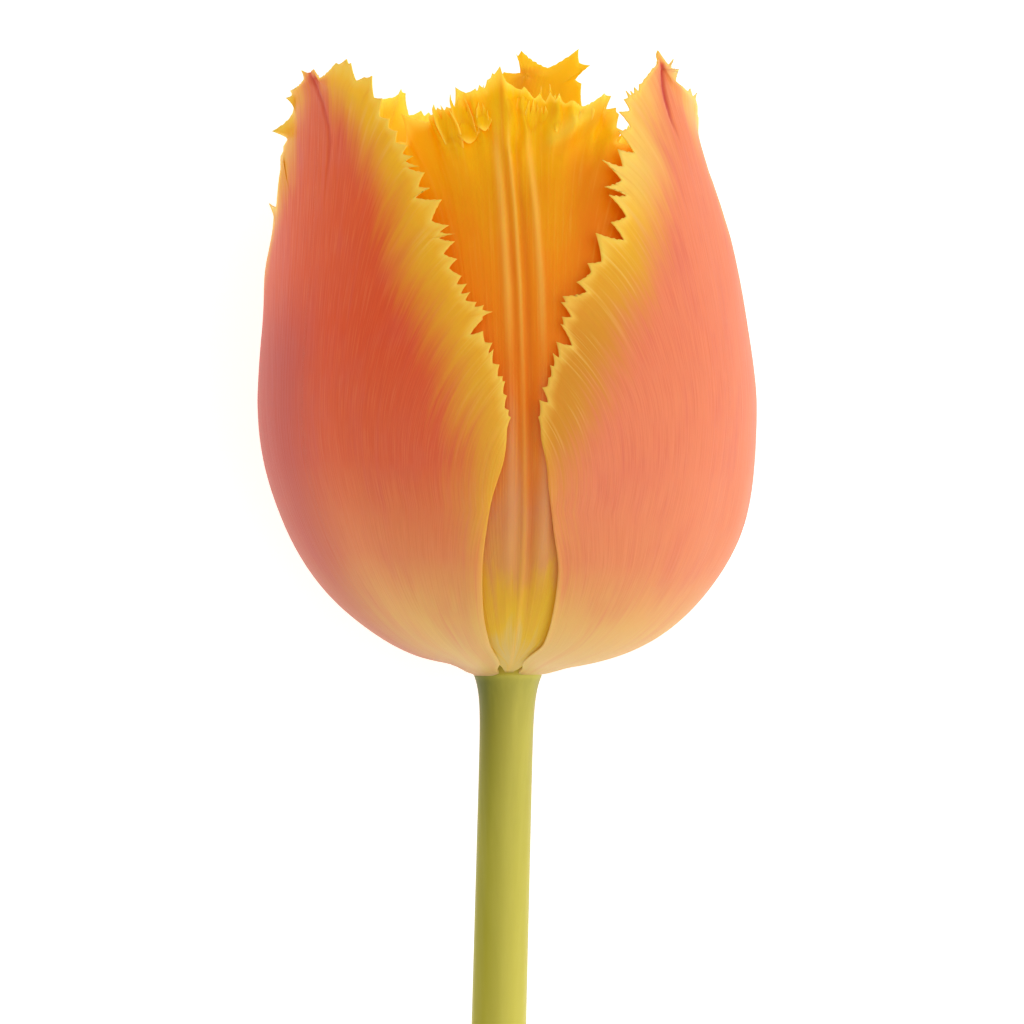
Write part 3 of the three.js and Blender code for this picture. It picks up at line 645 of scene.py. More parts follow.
# %% Sockets that can be added and multiplied
class Shade:
    """A shader socket that takes part in sums. node() adds any other kind of node."""

    def __init__(self, tree, socket=None):
        self.tree, self.socket = tree, socket

    def node(self, kind, settings=None, inputs=None, output=0):
        made = self.tree.nodes.new(kind)
        for key, value in (settings or {}).items():
            if key == "stops":
                ramp = made.color_ramp
                while len(ramp.elements) < len(value):
                    ramp.elements.new(0.5)
                for element, (place, colour) in zip(ramp.elements, value):
                    element.position, element.color = place, colour
            else:
                setattr(made, key, value)
        for key, value in (inputs or {}).items():
            if isinstance(value, Shade):
                self.tree.links.new(value.socket, made.inputs[key])
            else:
                made.inputs[key].default_value = value
        return Shade(self.tree, made.outputs[output])

    def math(self, operation, a, b=0.0):
        return self.node("ShaderNodeMath", {"operation": operation}, {0: a, 1: b})

    def __add__(self, other): return self.math("ADD", self, other)
    def __radd__(self, other): return self.math("ADD", other, self)
    def __sub__(self, other): return self.math("SUBTRACT", self, other)
    def __rsub__(self, other): return self.math("SUBTRACT", other, self)
    def __mul__(self, other): return self.math("MULTIPLY", self, other)
    def __truediv__(self, other): return self.math("DIVIDE", self, other)

    def ease(self, low, high):
        """The same eased step as ease(), 0 up to low and 1 from high on."""
        return self.node("ShaderNodeMapRange", {"interpolation_type": "SMOOTHSTEP"},
                         {"Value": self, "From Min": low, "From Max": high})

    def blend(self, a, b):
        """A colour between a and b, with this socket as the share of b."""
        return self.node("ShaderNodeMix", {"data_type": "RGBA"}, {0: self, 6: a, 7: b}, 2)

    def parts(self):
        """The three numbers of a vector."""
        return [self.node("ShaderNodeSeparateXYZ", {}, {0: self}, k) for k in range(3)]

    def hump(self, rate):
        """exp(-rate·x²): 1 in the middle, fading away to both sides."""
        return self.math("EXPONENT", self * self * -rate)

    def at(self, x, y, z):
        return self.node("ShaderNodeCombineXYZ", {}, {0: x, 1: y, 2: z})

    def place(self):
        """Object coordinates, in metres."""
        return self.node("ShaderNodeTexCoord", {}, {}, 3)

    def noise(self, where, scale, detail=2.0):
        return self.node("ShaderNodeTexNoise", {}, {"Vector": where, "Scale": scale, "Detail": detail})

    def field(self, name, vector=False):
        """An attribute of the mesh."""
        return self.node("ShaderNodeAttribute", {"attribute_name": name}, {}, 1 if vector else 2)

    def ramp(self, top, *stops):
        """Colours over 0 to top. A stop is its place, then its red, green and blue."""
        return self.node("ShaderNodeValToRGB", {"stops": [(x / top, colour(*c)) for x, *c in stops]},
                         {0: self / top})


def colour(red, green, blue):
    """A colour given in screen values of 0 to 255, as the shader wants it: below 0.04 of full a
    value is divided by 12.92, above it is ((v + 0.055) / 1.055) to the power 2.4."""
    v = np.array([red, green, blue]) / 255
    v = np.where(v <= 0.04045, v / 12.92, ((v + 0.055) / 1.055) ** 2.4)
    return (*v.tolist(), 1.0)


def new_material(name, **constants):
    """A Principled material with its constants set on its own sockets."""
    material = bpy.data.materials.new(name)
    material.use_nodes = True
    surface = material.node_tree.nodes["Principled BSDF"]
    for key, value in constants.items():
        surface.inputs[key.replace("_", " ")].default_value = value
    return material, Shade(material.node_tree), surface


def join(material, shade, surface, key):
    material.node_tree.links.new(shade.socket, surface.inputs[key])


# %% Coats of paint, and the finish
def coats(base, *layers):
    """Lays coat on coat: a layer is the share it covers, then its red, green and blue."""
    for share, *tint in layers:
        base = share.blend(base, colour(*tint))
    return base


def glow(material, surface, base, share):
    """Painted light: a share of the colour given off as emission, which lifts shade; on the tepals it
    stands in for light that has passed through the thin tissue.
    """
    surface.inputs["Emission Strength"].default_value = 1.0
    join(material, share.blend(colour(0, 0, 0), base), surface, "Emission Color")


def finish(material, surface, base, rough, grain, strength, depth):
    """Joins the colour, the roughness and a bump made from a grain, so many metres deep."""
    bump = base.node("ShaderNodeBump", {}, {"Strength": strength, "Distance": depth, "Height": grain})
    for key, shade in (("Base Color", base), ("Roughness", rough), ("Normal", bump)):
        join(material, shade, surface, key)


# %% [markdown]
# ## Colour of the outer tepals
#
# Outside they are flamed: coral red along the middle, yellow along the fringe, cream where they
# meet the stem. The red doesn't end in a line. It feathers out along the veins, which leave the
# midrib and bend towards the margin. So the edge of the flame is a smooth field, in millimetres,
# stored on the mesh, and a noise drawn out along the veins pushes it to and fro. Painting it by
# hand on an image would work too, but this stays sharp at any size.

# %% Noise along the veins
def vein_noise(s, vein, height, across_scale, along_scale, detail=2.0, shift=0.0):
    """Noise that is long along the veins and narrow across them."""
    return s.noise(s.at(vein * across_scale, height * along_scale + shift, 0.0), 1.0, detail)


# %% The outer tepals' material
def paint_outer():
    material, s, surface = new_material(
        "outer_tepal", Specular_IOR_Level=0.3, Subsurface_Weight=0.3,
        Subsurface_Radius=(1.0, 0.42, 0.18), Subsurface_Scale=0.0012)
    across, height, edge = s.field("place", True).parts()
    vein, _, inside = s.field("vein", True).parts()
    reach, crease, salmon_and_lit = s.field("red_reach", True).parts()
    streak = vein_noise(s, vein, height, 1.1, 0.05, 3.0)
    fine = vein_noise(s, vein, height, 4.6, 0.08, 3.0, 7.0)
    hair = vein_noise(s, vein, height, 11.0, 0.16, 2.0, 11.0)
    cloud = vein_noise(s, vein, height, 0.25, 0.1, 3.0, 5.0)

    red = height.ramp(PAINT_TOP, (0, 224, 190, 112), (6, 230, 178, 94), (14, 232, 140, 84),
                      (26, 230, 104, 60), (42, 230, 84, 34), (60, 232, 92, 34), (78, 226, 98, 48))
    # the right tepal's lighter, pinker red: partly its own salmon tint, partly painted light from the
    # right
    red = coats(red, (salmon_and_lit * 0.6 * height.ease(4, 24), 246, 150, 106),
                (salmon_and_lit * 0.6 * height.ease(60, 70), 240, 130, 66))
    yellow = height.ramp(PAINT_TOP, (0, 224, 192, 116), (10, 232, 184, 74), (22, 236, 170, 46),
                         (40, 243, 176, 26), (58, 247, 184, 22), (78, 252, 192, 18))
    # the right tepal's yellow: painted shade in the middle and painted light at the top, as lit from the
    # right
    yellow = coats(yellow, (salmon_and_lit * 0.7 * (1 - height.ease(40, 58)) * height.ease(16, 30), 210, 128, 6),
                   (salmon_and_lit * 0.55 * height.ease(54, 64), 252, 208, 116))
    gold = (height + (streak - 0.5) * 8.0).ramp(
        PAINT_TOP, (0, 226, 196, 110), (14, 236, 170, 60), (34, 240, 134, 40), (54, 246, 166, 26),
        (66, 252, 196, 20), (78, 255, 206, 22))

    pushed = reach + (streak - 0.5) * 5.0 + (fine - 0.5) * 4.0
    mask = (pushed + height.ease(50, 60) * 0.8).ease(-5.5, 4.0)
    flank, rim = 1 - across.ease(-6, 6), (1 - mask) * height.ease(12, 24)
    start = height.ease(56, 70) * (1 - salmon_and_lit)
    start = start + height.ease(65, 71) * (1 - height.ease(75.6, 76.4)) * salmon_and_lit
    # painted shade: a dark red line down the crease
    crease_shade = s.math("EXPONENT", crease * crease * (height.ease(67, 72) * 8 - 10.5)) * start
    deep = salmon_and_lit * 0.5 + 0.4 + height.ease(72.4, 74) * (1 - salmon_and_lit) * 0.4
    # painted light: a pinker band on the wall of the fold to the left of the crease
    fold_wall_light = (crease + 0.8).hump(2.0) * height.ease(60, 72)
    base = coats(
        mask.blend(yellow, red),
        # mauve clouds, then pale and dark hairlines in the red, and painted shade on the left flank, away
        # from the light
        ((cloud.ease(0.45, 0.7) * 0.22 + streak.ease(0.55, 0.75) * 0.22) * mask, 222, 98, 84),
        (hair.ease(0.5, 0.7) * 0.24 * mask, 240, 140, 84),
        ((1 - hair.ease(0.4, 0.55)) * 0.16 * mask, 206, 66, 30),
        (flank * (1 - salmon_and_lit) * (1 - height.ease(38, 52)) * 0.7 * mask, 190, 70, 62),
        # pale and dark veins in the yellow, and a paler edge, partly the margin's own colour and partly
        # painted light on the thin rim
        (fine.ease(0.5, 0.7) * cloud.ease(0.35, 0.6) * rim * 0.36, 255, 214, 112),
        ((1 - fine.ease(0.36, 0.5)) * rim * 0.2, 228, 142, 34),
        (edge.ease(0.96, 1.0) * 0.6 * height.ease(24, 34), 255, 212, 88),
        # painted shade: a dark red line down the crease; painted light: a pinker band on the fold's wall
        # beside it
        (crease_shade * deep * (1 - inside), 196, 34, 26),
        (fold_wall_light * 0.3 * (1 - inside), 232, 112, 82))
    # painted shade: a darker orange hollow down the middle of the inside near the top
    hollow_shade = across.hump(0.4) * height.ease(70, 73) * (1 - height.ease(75.4, 76.4))
    base = inside.blend(base, (hollow_shade * 0.6).blend(gold, colour(228, 150, 0)))
    # painted light as emission: a little all over, more on the inside near the top and along the rim,
    # lifting their shade
    light = 0.02 + inside * (0.05 + height.ease(50, 68) * 0.07) + edge.ease(0.93, 1.0) * 0.06
    glow(material, surface, base, light)
    ribs = vein_noise(s, vein, height, 3.4, 0.04, 3.0, 3.0)
    finish(material, surface, base, 0.54 - streak * 0.1, ribs, 0.26, 0.0003)
    return material


# %% [markdown]
# The inner tepals are yellow at both ends and orange between. The paint lights their ridges with
# painted highlights and darkens the grooves beside them with painted shade. Each of these is a
# hump over the distance from the middle ridge, which the mesh carries, so that the paint follows
# the form.

# %% The inner tepals' material
def paint_inner():
    material, s, surface = new_material(
        "inner_tepal", Specular_IOR_Level=0.12, Subsurface_Weight=0.35,
        Subsurface_Radius=(1.0, 0.5, 0.12), Subsurface_Scale=0.0012)
    across, height, edge = s.field("place", True).parts()
    vein, _, inside = s.field("vein", True).parts()
    _, x, _ = s.field("red_reach", True).parts()
    streak = vein_noise(s, vein, height, 0.9, 0.05, 3.0)
    fine = vein_noise(s, vein, height, 5.0, 0.1, 2.0, 7.0)
    cloud = vein_noise(s, vein, height, 0.3, 0.12, 3.0, 5.0)

    def ridge(centre, width):
        return (x - centre).hump(1 / width**2)

    upper = height.ease(34, 50)
    # painted highlights on the ridges, high and low, and painted shade in the grooves beside them
    crest = (ridge(-1.6, 0.5) + ridge(2.7, 0.45)) * upper + ridge(0.0, 0.28) * (upper * 0.6 + 0.4)
    low_crest = (ridge(-1.7, 0.7) + ridge(2.6, 0.6)) * height.ease(8, 16) * (1 - height.ease(28, 40))
    groove = ridge(0.95, 0.5) * (1 - height.ease(58, 68)) * height.ease(6, 16)
    groove = groove + ridge(-0.75, 0.35) * upper
    # painted shade: darker orange on the right side, beside the right outer tepal's margin
    right = across.ease(4, 9) * height.ease(44, 54) * (1 - height.ease(62, 68))
    lobe = (across - 3.9) - (height - LOBE_HEIGHT) * LOBE_SLOPE
    # painted highlight along the lobe's fold, and painted shade below it
    lit = lobe.hump(0.35) * height.ease(62, 67) * across.ease(2, 5) * (height.ease(65, 69) * 0.3 + 0.4)
    below = (lobe - 2.6).hump(0.5) * height.ease(60, 65) * across.ease(3, 6)
    base = coats(
        (height + (streak - 0.5) * 8.0 + (cloud - 0.5) * 14.0).ramp(
            PAINT_TOP, (0, 214, 182, 108), (5, 222, 176, 42), (9, 220, 166, 46), (13, 214, 146, 72),
            (20, 212, 132, 76), (28, 220, 122, 36), (34, 228, 116, 10), (42, 234, 128, 12),
            (52, 240, 142, 6), (60, 238, 158, 0), (66, 240, 172, 0), (78, 255, 204, 24)),
        (crest * 0.6 * (1 - height.ease(64, 70)), 252, 190, 80),
        (low_crest * 0.4, 238, 176, 118),
        (right * 0.6, 222, 104, 0),
        (lit, 252, 206, 66),
        (below * 0.45, 230, 146, 0),
        (groove * 0.35, 204, 92, 8),
        (fine.ease(0.5, 0.75) * 0.12, 252, 196, 80),
        # painted light on the inside near the top, then a paler rim, partly its own colour and partly
        # painted light
        (inside * 0.6 * height.ease(54, 66), 253, 202, 50),
        (edge.ease(0.965, 1.0) * 0.5 * height.ease(50, 60), 255, 216, 90))
    # painted light as emission: a little all over, more towards the top, most on the inside and along the
    # rim
    high_light = 0.09 + inside * 0.2 + edge.ease(0.965, 1.0) * 0.12
    light = 0.05 + height.ease(58, 68) * high_light
    glow(material, surface, base, light)
    ribs = vein_noise(s, vein, height, 3.4, 0.04, 2.0, 3.0)
    finish(material, surface, base, 0.55 - streak * 0.08, ribs, 0.3, 0.0003)
    return material


OUTER_PAINT, INNER_PAINT = paint_outer(), paint_inner()

# %% [markdown]
# The top of the front inner tepal is doubly fringed: small tongues stand in tiers on its face and
# fray out between the teeth of its rim. Each is a little closed sheet of its own, rooted in the
# tepal and joined to its mesh. Its row in the table gives root and tip as distance across and
# height, then half width, lift off the face, how much its sides curl up, and its teeth, where 0
# is a round end.

# %% Tongues on the front tepal
TONGUES = [
    [1.5, 66.0, 1.9, 71.9, 1.25, 0.8, -0.4, 3], [3.6, 66.0, 5.1, 72.3, 1.0, 0.7, -0.3, 2],
    [-1.0, 65.0, -1.4, 73.5, 0.8, 0.5, -0.4, 2], [-2.5, 67.0, -2.8, 73.3, 0.75, 0.6, -0.4, 2],
    [-4.1, 68.2, -4.5, 73.9, 0.65, 0.5, -0.4, 2], [0.8, 68.0, 0.5, 72.7, 1.1, 0.7, -0.3, 3],
    [2.8, 69.6, 2.9, 73.4, 0.2, 0.9, 0, 1], [4.0, 69.8, 4.1, 73.4, 0.2, 0.8, 0, 1],
    [-8.2, 64.4, -9.9, 70.6, 1.5, 1.2, 0.8, 2], [-6.3, 65.6, -7.8, 72.0, 1.2, 0.8, 0.6, 2],
    [-2.0, 68.6, -2.0, 74.2, 0.5, 0.4, -0.3, 2], [8.3, 66.8, 9.2, 71.0, 1.1, 0.5, 0.3, 3],
    [-4.6, 66.0, -5.2, 71.4, 0.8, 0.6, 0.4, 2], [2.6, 67.4, 3.4, 71.0, 0.7, 0.8, -0.3, 2],
    [-8.2, 70.4, -6.4, 66.0, 1.7, 1.2, -0.7, 0], [-5.4, 71.8, -4.4, 67.6, 1.5, 1.1, -0.7, 0],
    [5.6, 70.2, 4.6, 67.2, 0.8, 0.7, -0.4, 1],
]


def tongue_sheet(name, root, foot, tip, top, half, lift, curl, teeth, n, steps=14, ribs=13):
    """Step s goes from root to tip and rib v from side to side. The width is a hump of s. The end
    is cut back between teeth by a saw of v, beside a single one by |v|, and with none by v². The
    tongue stands lift·s^1.3 off the face, its sides another curl·v²·s."""
    tepal = TEPALS[name]
    v = np.linspace(-1, 1, ribs)[None, :]
    saw = np.abs((v * teeth / 2 + 0.5 * (teeth % 2) + draw(n)) % 1 - 0.5) * 2
    cut = 0.3 * saw if teeth > 1 else 0.6 * np.abs(v) if teeth else 0.4 * v**2
    s = np.linspace(0, 1, steps)[:, None] * (1 - cut)
    width = half * np.interp(s, [0, 0.3, 0.6, 0.85, 1], [0.55, 0.85, 1, 0.85, 0.55])
    across = mix(root, tip, s) + v * width + 0.25 * np.sin(3 * s + n) * s
    z = mix(foot, top, s)
    stand = relief(name, across, z, 0 * z) - 0.2 + lift * s**1.3 + curl * v**2 * s
    angle = np.degrees(across / cup_radius(z, tepal["lean"]))
    depths = [INNER_DEPTH - stand + thick for thick in (0, mix(0.35, 0.12, s))]
    faces = [lay_down(*on_cup(tepal, angle, z, depth)).reshape(-1, 3) for depth in depths]
    edge = 0.93 + 0.07 * np.maximum(s, np.abs(v)) ** 2
    place = np.tile(in_rows(across, z, edge), (2, 1))
    fields = {"place": place, "vein": place * [1, 1, 0], "red_reach": place * 0 + [0, 9, 0]}
    return np.vstack(faces), sheet_triangles(steps, ribs, True), fields


def joined(parts):
    """Several closed sheets as one: points one after the other, triangles counted on."""
    first = np.cumsum([0] + [len(points) for points, _, _ in parts[:-1]])
    return (np.vstack([points for points, _, _ in parts]),
            np.vstack([triangles + start for (_, triangles, _), start in zip(parts, first)]),
            {key: np.vstack([fields[key] for _, _, fields in parts]) for key in parts[0][2]})


# %% Make the six tepals
for name, tepal in TEPALS.items():
    seen = name in ("outer_tepal_left", "outer_tepal_right", "inner_tepal_front")
    parts = [tepal_sheet(name, toothed=560 if seen else 360)]
    if name == "inner_tepal_front":
        parts += [tongue_sheet(name, *row, n=k) for k, row in enumerate(TONGUES)]
    points, triangles, fields = joined(parts)
    paint = OUTER_PAINT if tepal["whorl"] == "outer" else INNER_PAINT
    add_piece(name + "_petal", points, triangles, fields, paint, [name], tepal["whorl"] + "_tepal")

# %% [markdown]
# ## The stem
#
# A tulip's flower stem is round, smooth and slightly bowed, and swells a little where it carries
# the bloom. A bevelled curve would do, but it can't end in a slanting cut with a face. So rings
# of points are carried along the centre line: first the small seat inside the bloom, then the
# length to the cut, and last the cut face, drawn in to its centre.

# %% The stem's rings
STEM_LENGTH, STEM_RADIUS, STEM_END_RADIUS, STEM_FLARE = 175, 3.3, 3.75, 1.15
STEM_SHIFT, STEM_DRIFT = 0.12, 0.026    # how far aside it starts, and its sideways run per millimetre
CUT_SLOPE, SLANT_START = 0.55, 168      # slope of the cut, and where the rings begin to slant
SEAT_TOP, SEAM = 2.3, 0.3


def stem_grid(around=72):
    """Each ring has a distance w down the stem, a radius and a slant from 0 to 1. Its points lie
    at w + slant·slope·r·sin(turn), round a centre that drifts with w and bows with w²."""
    contact = STEM_LENGTH + STEM_END_RADIUS * CUT_SLOPE
    fall = (BASE_HEIGHT - contact * math.sin(RISE)) / math.cos(RISE) - STEM_END_RADIUS
    bow = fall * (STEM_LENGTH / contact) ** 2
    seat = [[-SEAT_TOP, 0], [-SEAT_TOP, 2.2], [-2.25, 3.2], [-2.1, 3.6], [-1.8, 3.85], [-1.3, 3.92],
            [-0.1, 3.92], [0.1, 4.06], [0.25, 4.18]]
    w = np.r_[np.linspace(0.4, 12, 36), np.linspace(12.6, SLANT_START, 140),
              np.linspace(SLANT_START + 0.6, STEM_LENGTH, 12)]
    radius = mix(STEM_RADIUS, STEM_END_RADIUS, w / STEM_LENGTH) + STEM_FLARE * np.exp(-w / 2.2)
    cut = STEM_END_RADIUS * np.array([0.985, 0.95, 0.9, 0.8, 0.65, 0.5, 0.35, 0.2, 0.1, 0])
    rings = np.vstack([seat, np.c_[w, radius], np.c_[np.full(len(cut), STEM_LENGTH), cut]])
    slant = np.clip((rings[:, 0] - SLANT_START) / (STEM_LENGTH - SLANT_START), 0, 1)
    turn = np.linspace(0, 2 * np.pi, around + 1)[None, :]
    w, r = rings[:, :1], rings[:, 1:]
    reach = w + slant[:, None] * CUT_SLOPE * r * np.sin(turn)
    down = np.maximum(0, reach)
    ridges = 1 + 0.006 * np.sin(11 * turn + 0.4) * ease(w, 2, 20) * (w < STEM_LENGTH - 1)
    x = STEM_SHIFT - STEM_DRIFT * down + r * ridges * np.cos(turn)
    y = bow * (down / STEM_LENGTH) ** 2 + r * ridges * np.sin(turn)
    points = lay_down(x, y, -reach)
    points[..., 2] = np.maximum(points[..., 2], 0)
    face = np.zeros(len(rings))
    face[-len(cut):] = 1
    spot = np.stack([turn + 0 * w, w + 0 * turn, r / STEM_END_RADIUS + 0 * turn], -1)
    return points, spot, face[:, None] + 0 * turn


# %% [markdown]
# Its colour goes from a darker green under the bloom, painted shade that the bloom casts, to a
# yellow green lower down, with faint streaks along it. The side towards the lamp on the right is
# painted lighter and the side away from it darker, as painted light and shade. The cut face is pale
# and wet, with the darker dots of the sap vessels.

# %% The stem's material
def paint_stem():
    material, s, surface = new_material(
        "stem", Specular_IOR_Level=0.3, Subsurface_Weight=0.1, Subsurface_Radius=(0.6, 0.8, 0.2),
        Subsurface_Scale=0.0015)
    turn, down, share = s.field("spot", True).parts()
    cut, place = s.field("cut_face"), s.place()
    x, y, z = place.parts()
    streak = s.noise(s.at(x * 620, y * 9, z * 620), 1.0, 3.0)
    cloud = s.noise(place, 28.0)
    # painted light on the side towards the lamp on the right, painted shade on the side away from it
    painted_lit_side = s.math("COSINE", turn + 1.0).ease(0.1, 1.0)
    painted_shade_side = s.math("COSINE", turn + 2.15).ease(0.5, 1.0)
    skin = coats(
        # the dark green at the top and under the bloom is painted shade; lower down it turns yellow green
        down.ramp(180, (0, 124, 124, 30), (1.5, 96, 104, 0), (8, 134, 130, 12), (24, 166, 158, 20),
                  (46, 186, 174, 38), (150, 180, 178, 50), (178, 188, 186, 90)),
        (streak.ease(0.4, 0.75) * 0.3, 196, 188, 74),
        (cloud.ease(0.5, 0.75) * 0.25, 142, 142, 36),
        # painted light on the lit side, then painted shade on the side away from the lamp
        (painted_lit_side * 0.55, 226, 214, 96),
        (painted_shade_side * 0.25, 136, 132, 26))
    vessels = s.node("ShaderNodeTexVoronoi", {}, {"Vector": place, "Scale": 950.0})
    dots = (1 - vessels.ease(0.12, 0.3)) * share.ease(0.2, 0.45) * (1 - share.ease(0.86, 0.95))
    flesh = share.ease(0.8, 1).blend(colour(214, 220, 160), colour(176, 186, 96))
    flesh = coats(flesh, (dots * 0.6, 138, 150, 78))
    # painted light as emission at the top of the stem, lifting the shade under the claws
    glow(material, surface, skin, (1 - down.ease(0.0, 1.2)) * 0.25)
    finish(material, surface, cut.ease(0.4, 0.6).blend(skin, flesh), 0.42 - cut * 0.15 + streak * 0.1,
           streak, 0.3, 0.0002)
    return material


points, spot, face = stem_grid()
fields = {"spot": spot.reshape(-1, 3), "cut_face": face.ravel()}
add_piece("flower_stem", points.reshape(-1, 3), skin_triangles(points), fields, paint_stem(),
          ["stem"], "stem")

# %% [markdown]
# ## Pistil and stamens
#
# In the mouth of the cup stand a three-sided green ovary with a pale three-lobed stigma, and six
# stamens with dark anthers full of pollen. All are rings carried along a line. A ring is a circle
# whose radius swells by a share of cos(3·turn), or an ellipse with a groove down each side.

# %% Rings closed at both ends
def ring_stack(ring, around, steps):
    """A grid of rings ring(share, turn), with a first and last ring drawn in to their middle."""
    share = np.linspace(0, 1, steps)[:, None]
    turn = np.linspace(0, 2 * np.pi, around + 1)[None, :]
    points = lay_down(*ring(share, turn))
    foot, top = (points[k, :-1].mean(0) + 0 * points[:1] for k in (0, -1))
    points = np.concatenate([foot, points, top])
    height = np.vstack([share[:1], share, share[-1:]]) + 0 * turn
    return points.reshape(-1, 3), skin_triangles(points), {"share": height.ravel()}


def speckled(name, low, high, speck, scale, depth):
    """A matt plant skin: a colour that changes along the piece, a speckle and a fine bump."""
    material, s, surface = new_material(name, Specular_IOR_Level=0.3)
    grain = s.noise(s.place(), scale, 3.0)
    tint = s.field("share").ease(0, 1).blend(colour(*low), colour(*high))
    skin = coats(tint, (grain.ease(0.5, 0.68) * 0.5, *speck))
    finish(material, surface, skin, 0.55 + grain * 0.2, grain, 0.6, depth)
    return material


# %% Ovary and stigma
PISTIL_HEIGHT, PISTIL_RADIUS, STIGMA_HEIGHT = 19, 3.1, 3.4


def ovary_ring(share, turn):
    """The ovary's radius follows a curve through its foot, belly and neck, and swells by a tenth
    in three directions, with a shallow seam between them."""
    body = np.interp(share, [0, 0.05, 0.12, 0.35, 0.65, 0.88, 1], [0.6, 0.74, 0.84, 1, 0.98, 0.82, 0.7])
    seam = 0.05 * bell(np.cos(1.5 * turn), 0.16)
    r = PISTIL_RADIUS * body * (1 + 0.1 * np.cos(3 * turn) - seam)
    return r * np.sin(turn), -r * np.cos(turn), SEAT_TOP + SEAM + share * PISTIL_HEIGHT + 0 * turn


def stigma_ring(share, turn):
    """Three lobes that roll outwards: the swell grows to a third, and a fine crimp edges them."""
    body = np.interp(share, [0, 0.12, 0.35, 0.6, 0.8, 0.93, 1], [0.75, 0.95, 1.25, 1.32, 1.2, 0.98, 0.8])
    lobe = np.interp(share, [0, 0.35, 0.76, 1], [0.15, 0.32, 0.34, 0.25])
    crimp = 0.03 * np.sin(21 * turn) * ease(share, 0.2, 0.6)
    r = PISTIL_RADIUS * body * (1 + lobe * np.cos(3 * turn) + crimp)
    dent = 0.5 * (1 - ease(np.abs(np.cos(1.5 * turn)), 0.1, 0.6)) * ease(share, 0.6, 1)
    z = SEAT_TOP + 2 * SEAM + PISTIL_HEIGHT + STIGMA_HEIGHT * share - dent
    return r * np.sin(turn), -r * np.cos(turn), z


ovary_paint = speckled("ovary", (206, 208, 120), (168, 190, 86), (186, 204, 104), 900.0, 0.0001)
stigma_paint = speckled("stigma", (222, 210, 120), (242, 230, 160), (250, 242, 190), 2500.0, 0.00025)
add_piece("three_sided_ovary", *ring_stack(ovary_ring, 60, 48), ovary_paint, ["ovary"], "ovary")
add_piece("lobed_stigma", *ring_stack(stigma_ring, 96, 26), stigma_paint, ["stigma"], "stigma")

# %% Six stamens
STAMEN_START = 3.05     # how far from the axis they stand, to their middle
FILAMENT_LENGTH, ANTHER_LENGTH, ANTHER_WIDE, ANTHER_DEEP = 10, 12, 1.15, 0.8


def stamen_ring(k, start, long, wide, deep, share, turn):
    """Rings along a line that leans out by lean·up^1.1, wide across it and deep along it."""
    spin = math.radians(60 * k + 34)
    lean = mix(0.26, 0.36, float(draw(k + 5)))
    up = start + share * long
    r = STAMEN_START + lean * np.maximum(0, up) ** 1.1 + deep * np.cos(turn)
    side = wide * np.sin(turn)
    return (r * math.sin(spin) + side * math.cos(spin), -r * math.cos(spin) + side * math.sin(spin),
            SEAT_TOP + SEAM + up + 0 * turn)


def filament_ring(k, long):
    def ring(share, turn):
        size = np.interp(share, [0, 0.3, 0.7, 0.94, 1], [0.5, 0.62, 0.5, 0.34, 0.3])
        return stamen_ring(k, 0, long, size, size, share, turn)
    return ring


def anther_ring(k, long):
    """An anther is two pollen sacs side by side: the ellipse is pinched in front and behind by
    a third of cos⁴(turn), and the sacs are knobbly with pollen."""
    def ring(share, turn):
        size = np.interp(share, [0, 0.04, 0.12, 0.5, 0.85, 0.96, 1], [0.42, 0.8, 1, 1.05, 0.78, 0.5, 0.3])
        knob = 1 + 0.03 * np.sin(9 * turn + 40 * share) * np.sin(31 * share + 3 * turn)
        pinch = 1 - 0.32 * np.cos(turn) ** 4
        wide, deep = ANTHER_WIDE * size * knob, ANTHER_DEEP * size * pinch * knob
        return stamen_ring(k, long + SEAM, ANTHER_LENGTH, wide, deep, share, turn)
    return ring


filament_paint = speckled("filament", (238, 226, 140), (226, 196, 96), (244, 236, 170), 1500.0, 0.0001)
anther_paint = speckled("anther", (58, 34, 42), (46, 28, 38), (112, 78, 58), 3200.0, 0.0003)
for k in range(6):
    long = FILAMENT_LENGTH * mix(0.9, 1.1, float(draw(k + 9)))
    add_piece(f"slim_filament_{k + 1}", *ring_stack(filament_ring(k, long), 20, 16), filament_paint,
              [f"filament_{k + 1}"], "filament")
    add_piece(f"pollen_anther_{k + 1}", *ring_stack(anther_ring(k, long), 40, 40), anther_paint,
              [f"anther_{k + 1}"], "anther")

# %% [markdown]
# ## Floor, light and camera
#
# The flower lies on a pale table under soft studio light. The camera looks square at the bloom's
# axis from above, with a long lens, so the cup is seen as in an upright side view. A broad lamp
# on the right shapes the bloom, and a weaker one on the left keeps its shadows open.

# %% Camera
def aim(item, place, target, up):
    """Puts an object at a place with its -Z towards the target and its Y as near up as can be."""
    back = (place - target).normalized()
    side = up.cross(back).normalized()
    turn = Matrix((side, back.cross(side), back)).transposed().to_4x4()
    item.matrix_world = Matrix.Translation(place) @ turn


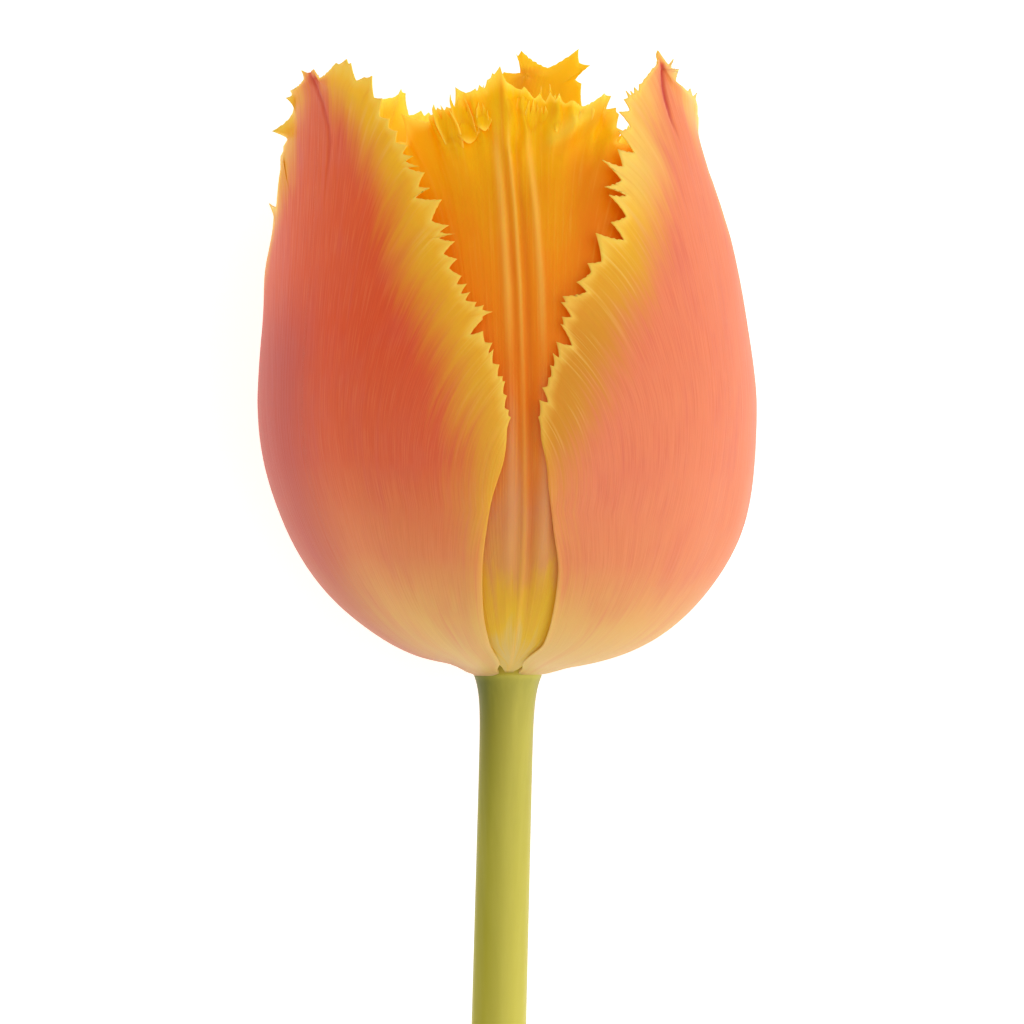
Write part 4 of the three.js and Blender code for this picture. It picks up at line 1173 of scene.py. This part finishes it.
AXIS = Vector((0, math.cos(RISE), math.sin(RISE)))
SQUARE = Vector((0, -math.sin(RISE), math.cos(RISE)))
SIDE = Vector((1, 0, 0))
FRAME_WIDTH = 0.128     # what the picture shows across, in metres
MIDDLE_ASIDE, MIDDLE_ALONG = 0.000625, 0.020   # its middle, from the base of the bloom
LENS, SENSOR = 1200.0, 36.0

base = Vector((0, -REST_FORWARD, BASE_HEIGHT)) * MM
centre = base + SIDE * MIDDLE_ASIDE + AXIS * MIDDLE_ALONG
camera = bpy.data.objects.new("camera", bpy.data.cameras.new("camera"))
camera.data.lens, camera.data.sensor_width = LENS, SENSOR
camera.data.clip_start, camera.data.clip_end = 0.05, 20
bpy.context.scene.collection.objects.link(camera)
aim(camera, centre + SQUARE * (FRAME_WIDTH * LENS / SENSOR), centre, AXIS)
bpy.context.scene.camera = camera

# %% Floor and light
REACH = 3               # of the floor to each side, in metres
floor_mesh = bpy.data.meshes.new("floor")
corners = [(-REACH, -REACH, 0), (REACH, -REACH, 0), (REACH, REACH, 0), (-REACH, REACH, 0)]
floor_mesh.from_pydata(corners, [], [(0, 1, 2, 3)])
floor = bpy.data.objects.new("floor", floor_mesh)
bpy.context.scene.collection.objects.link(floor)
floor_paint, s, surface = new_material("floor", Roughness=0.9, Specular_IOR_Level=0.1,
                                       Emission_Color=(1, 1, 1, 1), Emission_Strength=0.56)
grain = s.noise(s.place(), 2.0)
pale, less_pale = colour(250, 250, 250), colour(242, 242, 242)
join(floor_paint, (grain * 0.02).blend(pale, less_pale), surface, "Base Color")
floor_mesh.materials.append(floor_paint)

world = bpy.data.worlds.new("studio")
world.use_nodes = True
world.node_tree.nodes["Background"].inputs["Color"].default_value = (1, 0.998, 0.99, 1)
world.node_tree.nodes["Background"].inputs["Strength"].default_value = 0.55
bpy.context.scene.world = world
LAMPS = [("key", (0.95, -0.12, 0.85), 1.9, 8.8), ("fill", (-0.3, 0.2, 1.2), 1.2, 1.6)]
for name, place, size, watts in LAMPS:
    lamp = bpy.data.objects.new(name, bpy.data.lights.new(name, "AREA"))
    lamp.data.energy, lamp.data.size = watts, size
    bpy.context.scene.collection.objects.link(lamp)
    aim(lamp, Vector(place), Vector((0, 0, 0.03)), Vector((0, 1, 0)))
bpy.context.scene.view_settings.view_transform = "Standard"
